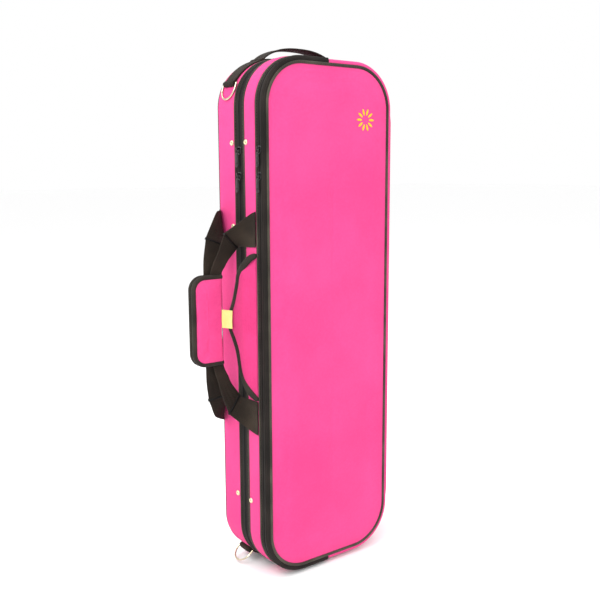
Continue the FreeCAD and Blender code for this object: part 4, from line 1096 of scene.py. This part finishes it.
rimCover = [(1.6, 60.3), (2.2, 60.42), (13.6, 60.42), (14.0, 60.0), (14.2, 52), (14.2, 22), (13.0, 21.4),
            (1.4, 21.4), (1.4, 30), (1.4, 52)]
ringPiece("lidShell", rimCover, blackTaffeta, "lid", ["lid_core"], spacing=6)
baseRim = [(1.6, 61.7), (2.2, 61.58), (13.6, 61.58), (14.0, 62), (14.2, 70), (14.2, 118.8), (1.4, 118.8),
           (1.4, 90), (1.4, 70)]
ringPiece("baseShell", baseRim, blackTaffeta, "base", ["base_core"], spacing=6)
baseLiningProfile = [(13.9, 61.7), (14.6, 61.5), (15.6, 61.8), (16.0, 62.6), (16.0, 75.4), (14.2, 75.4)]
ringPiece("baseLining", baseLiningProfile, plushMaterial, "base", ["base_lining"], spacing=5)


def liningTray():
    # The lid's lining is one soft tray: down the wall, round an inner corner, over the floor, and back.
    count = int(perimeter / 5)
    x, z, nx, nz = onOutline(np.linspace(0, perimeter, count, endpoint=False))
    middle = np.stack([np.zeros(count), np.clip(z, -(halfLength - halfWidth), halfLength - halfWidth)], -1)
    angle = np.linspace(0, math.pi / 2, 8)
    inner = [(16.0, v) for v in (60.2, 54, 46, 40)]
    inner += [(16.0 + 7 * (1 - math.cos(a)), 38.2 - 7 * math.sin(a)) for a in angle]
    rows = []
    for inset, depth in inner:
        rows.append(np.stack([x - inset * nx, np.full(count, depth), z - inset * nz], -1))
    rim = np.stack([x - 23.0 * nx, z - 23.0 * nz], -1)
    for share in np.linspace(0.95, 0.03, 16):
        flat = middle + (rim - middle) * share
        level = 31.2 - ripple(flat[:, 0], flat[:, 1], 0.25, 120.0) * (1 - share)
        rows.append(np.stack([flat[:, 0], level, flat[:, 1]], -1))
    outer = []
    for share in np.linspace(0.03, 0.98, 6):
        flat = middle + (rim - middle) * share
        outer.append(np.stack([flat[:, 0], np.full(count, 29.4), flat[:, 1]], -1))
    for inset, depth in ((14.2, 30.0), (14.1, 45.0), (14.1, 60.2)):
        outer.append(np.stack([x - inset * nx, np.full(count, depth), z - inset * nz], -1))
    return np.array(outer + rows)


buildPiece("lidLining", liningTray(), [plushMaterial], "lid", ["lid_lining"])
insert = softCopy("cavity_insert", "cavityInsert", plushMaterial, "base", voxel=3.0, smooth=4)
for node, name, swell in (("tail_pad", "tailPad", 2.5), ("shoulder_pad", "shoulderPad", 2.5)):
    pad = softCopy(node, name, plushMaterial, None, voxel=1.6, smooth=4)
    puff(pad, pressure=4.0, cap=swell)
    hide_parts(node)
    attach(pad, "base")
cradle = softCopy("neck_cradle", "neckCradle", plushMaterial, "base", voxel=1.2, smooth=5)
softCopy("accessory_lid", "accessoryLid", plushMaterial, "accessory_door", voxel=1.0, smooth=3)
softCopy("accessory_pull", "accessoryPull", webbingMaterial, "accessory_door", voxel=0.5, smooth=2)
softCopy("bow_sleeves", "bowSleeves", plushMaterial, "lid", voxel=0.8, smooth=3)
a, b = nodeBox("neck_strap")
ys = (a[1] + b[1]) / 2
line = np.linspace(a[0], b[0], 14)
rise = 0.2 * np.cos(math.pi * (line - (a[0] + b[0]) / 2) / (b[0] - a[0]))
top, bottom = (np.stack([line, ys - rise, np.full(14, z)], -1) for z in (b[2], a[2]))
buildPiece("neckStrap", strapPoints(top, bottom, 1.4, rows=50, across=9), [webbingMaterial], "base",
           ["neck_strap"],
           60)
for node in ("bow_spinner_left", "bow_spinner_right"):
    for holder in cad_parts[node].material_slots:
        holder.material = plasticMaterial
print("inside made")

# a white floor, soft lights and the camera
floorMesh = bpy.data.meshes.new("floor")
floorMesh.from_pydata([(-30, -30, 0), (30, -30, 0), (30, 30, 0), (-30, 30, 0)], [], [(0, 1, 2, 3)])
*floorParts, floorShader = startMaterial("whitePaperFloor", 0.9, specular=0.1)
floorShader.inputs["Base Color"].default_value = (0.99, 0.99, 0.99, 1)
floorMesh.materials.append(floorParts[0])
floor = bpy.data.objects.new("floor", floorMesh)
bpy.context.scene.collection.objects.link(floor)

world = bpy.data.worlds.new("studio")
world.use_nodes = True
world.node_tree.nodes["Background"].inputs["Color"].default_value = (1, 1, 1, 1)
world.node_tree.nodes["Background"].inputs["Strength"].default_value = 1.0
bpy.context.scene.world = world
lights = {
    "keyLeft": {"at": (-2.2, -1.6, 2.2), "size": 2.0, "watts": 36},
    "leftHigh": {"at": (-1.0, -0.1, 1.35), "size": 0.7, "watts": 8},
    "fillFront": {"at": (1.2, -2.8, 1.4), "size": 2.2, "watts": 30},
    "topSoft": {"at": (-0.4, 0.4, 3.0), "size": 2.4, "watts": 30},
}


def standObject(name, data, right, up, back, at):
    # an object that looks along minus `back`, with its right, its up and its place
    made = bpy.data.objects.new(name, data)
    bpy.context.scene.collection.objects.link(made)
    made.matrix_world = Matrix([[right[i], up[i], back[i], at[i]] for i in range(3)] + [[0, 0, 0, 1]])
    return made


for name, light in lights.items():
    lamp = bpy.data.lights.new(name, "AREA")
    lamp.energy, lamp.size = light["watts"], light["size"]
    back = np.array(light["at"]) - [0, 0, 0.4]  # every lamp faces the case's middle
    back /= np.linalg.norm(back)
    right = np.cross([0, 0, 1], back)
    right /= np.linalg.norm(right)
    standObject(name, lamp, right, np.cross(back, right), back, light["at"])

view = {"at": (-0.72315, -1.0144, 0.6281), "heading": 36.49, "down": 9.07, "roll": -0.285, "lens": 48.0}
heading, down, roll = (math.radians(view[k]) for k in ("heading", "down", "roll"))
forward = np.array([math.sin(heading) * math.cos(down), math.cos(heading) * math.cos(down), -math.sin(down)])
right = np.array([math.cos(heading), -math.sin(heading), 0])
up = np.cross(right, forward)
cameraData = bpy.data.cameras.new("camera")
cameraData.lens, cameraData.sensor_width = view["lens"], 36
camera = standObject("camera", cameraData, math.cos(roll) * right + math.sin(roll) * up,
                     math.cos(roll) * up - math.sin(roll) * right, -forward, view["at"])
bpy.context.scene.camera = camera
bpy.context.scene.view_settings.view_transform = "Standard"

bpy.context.view_layer.update()
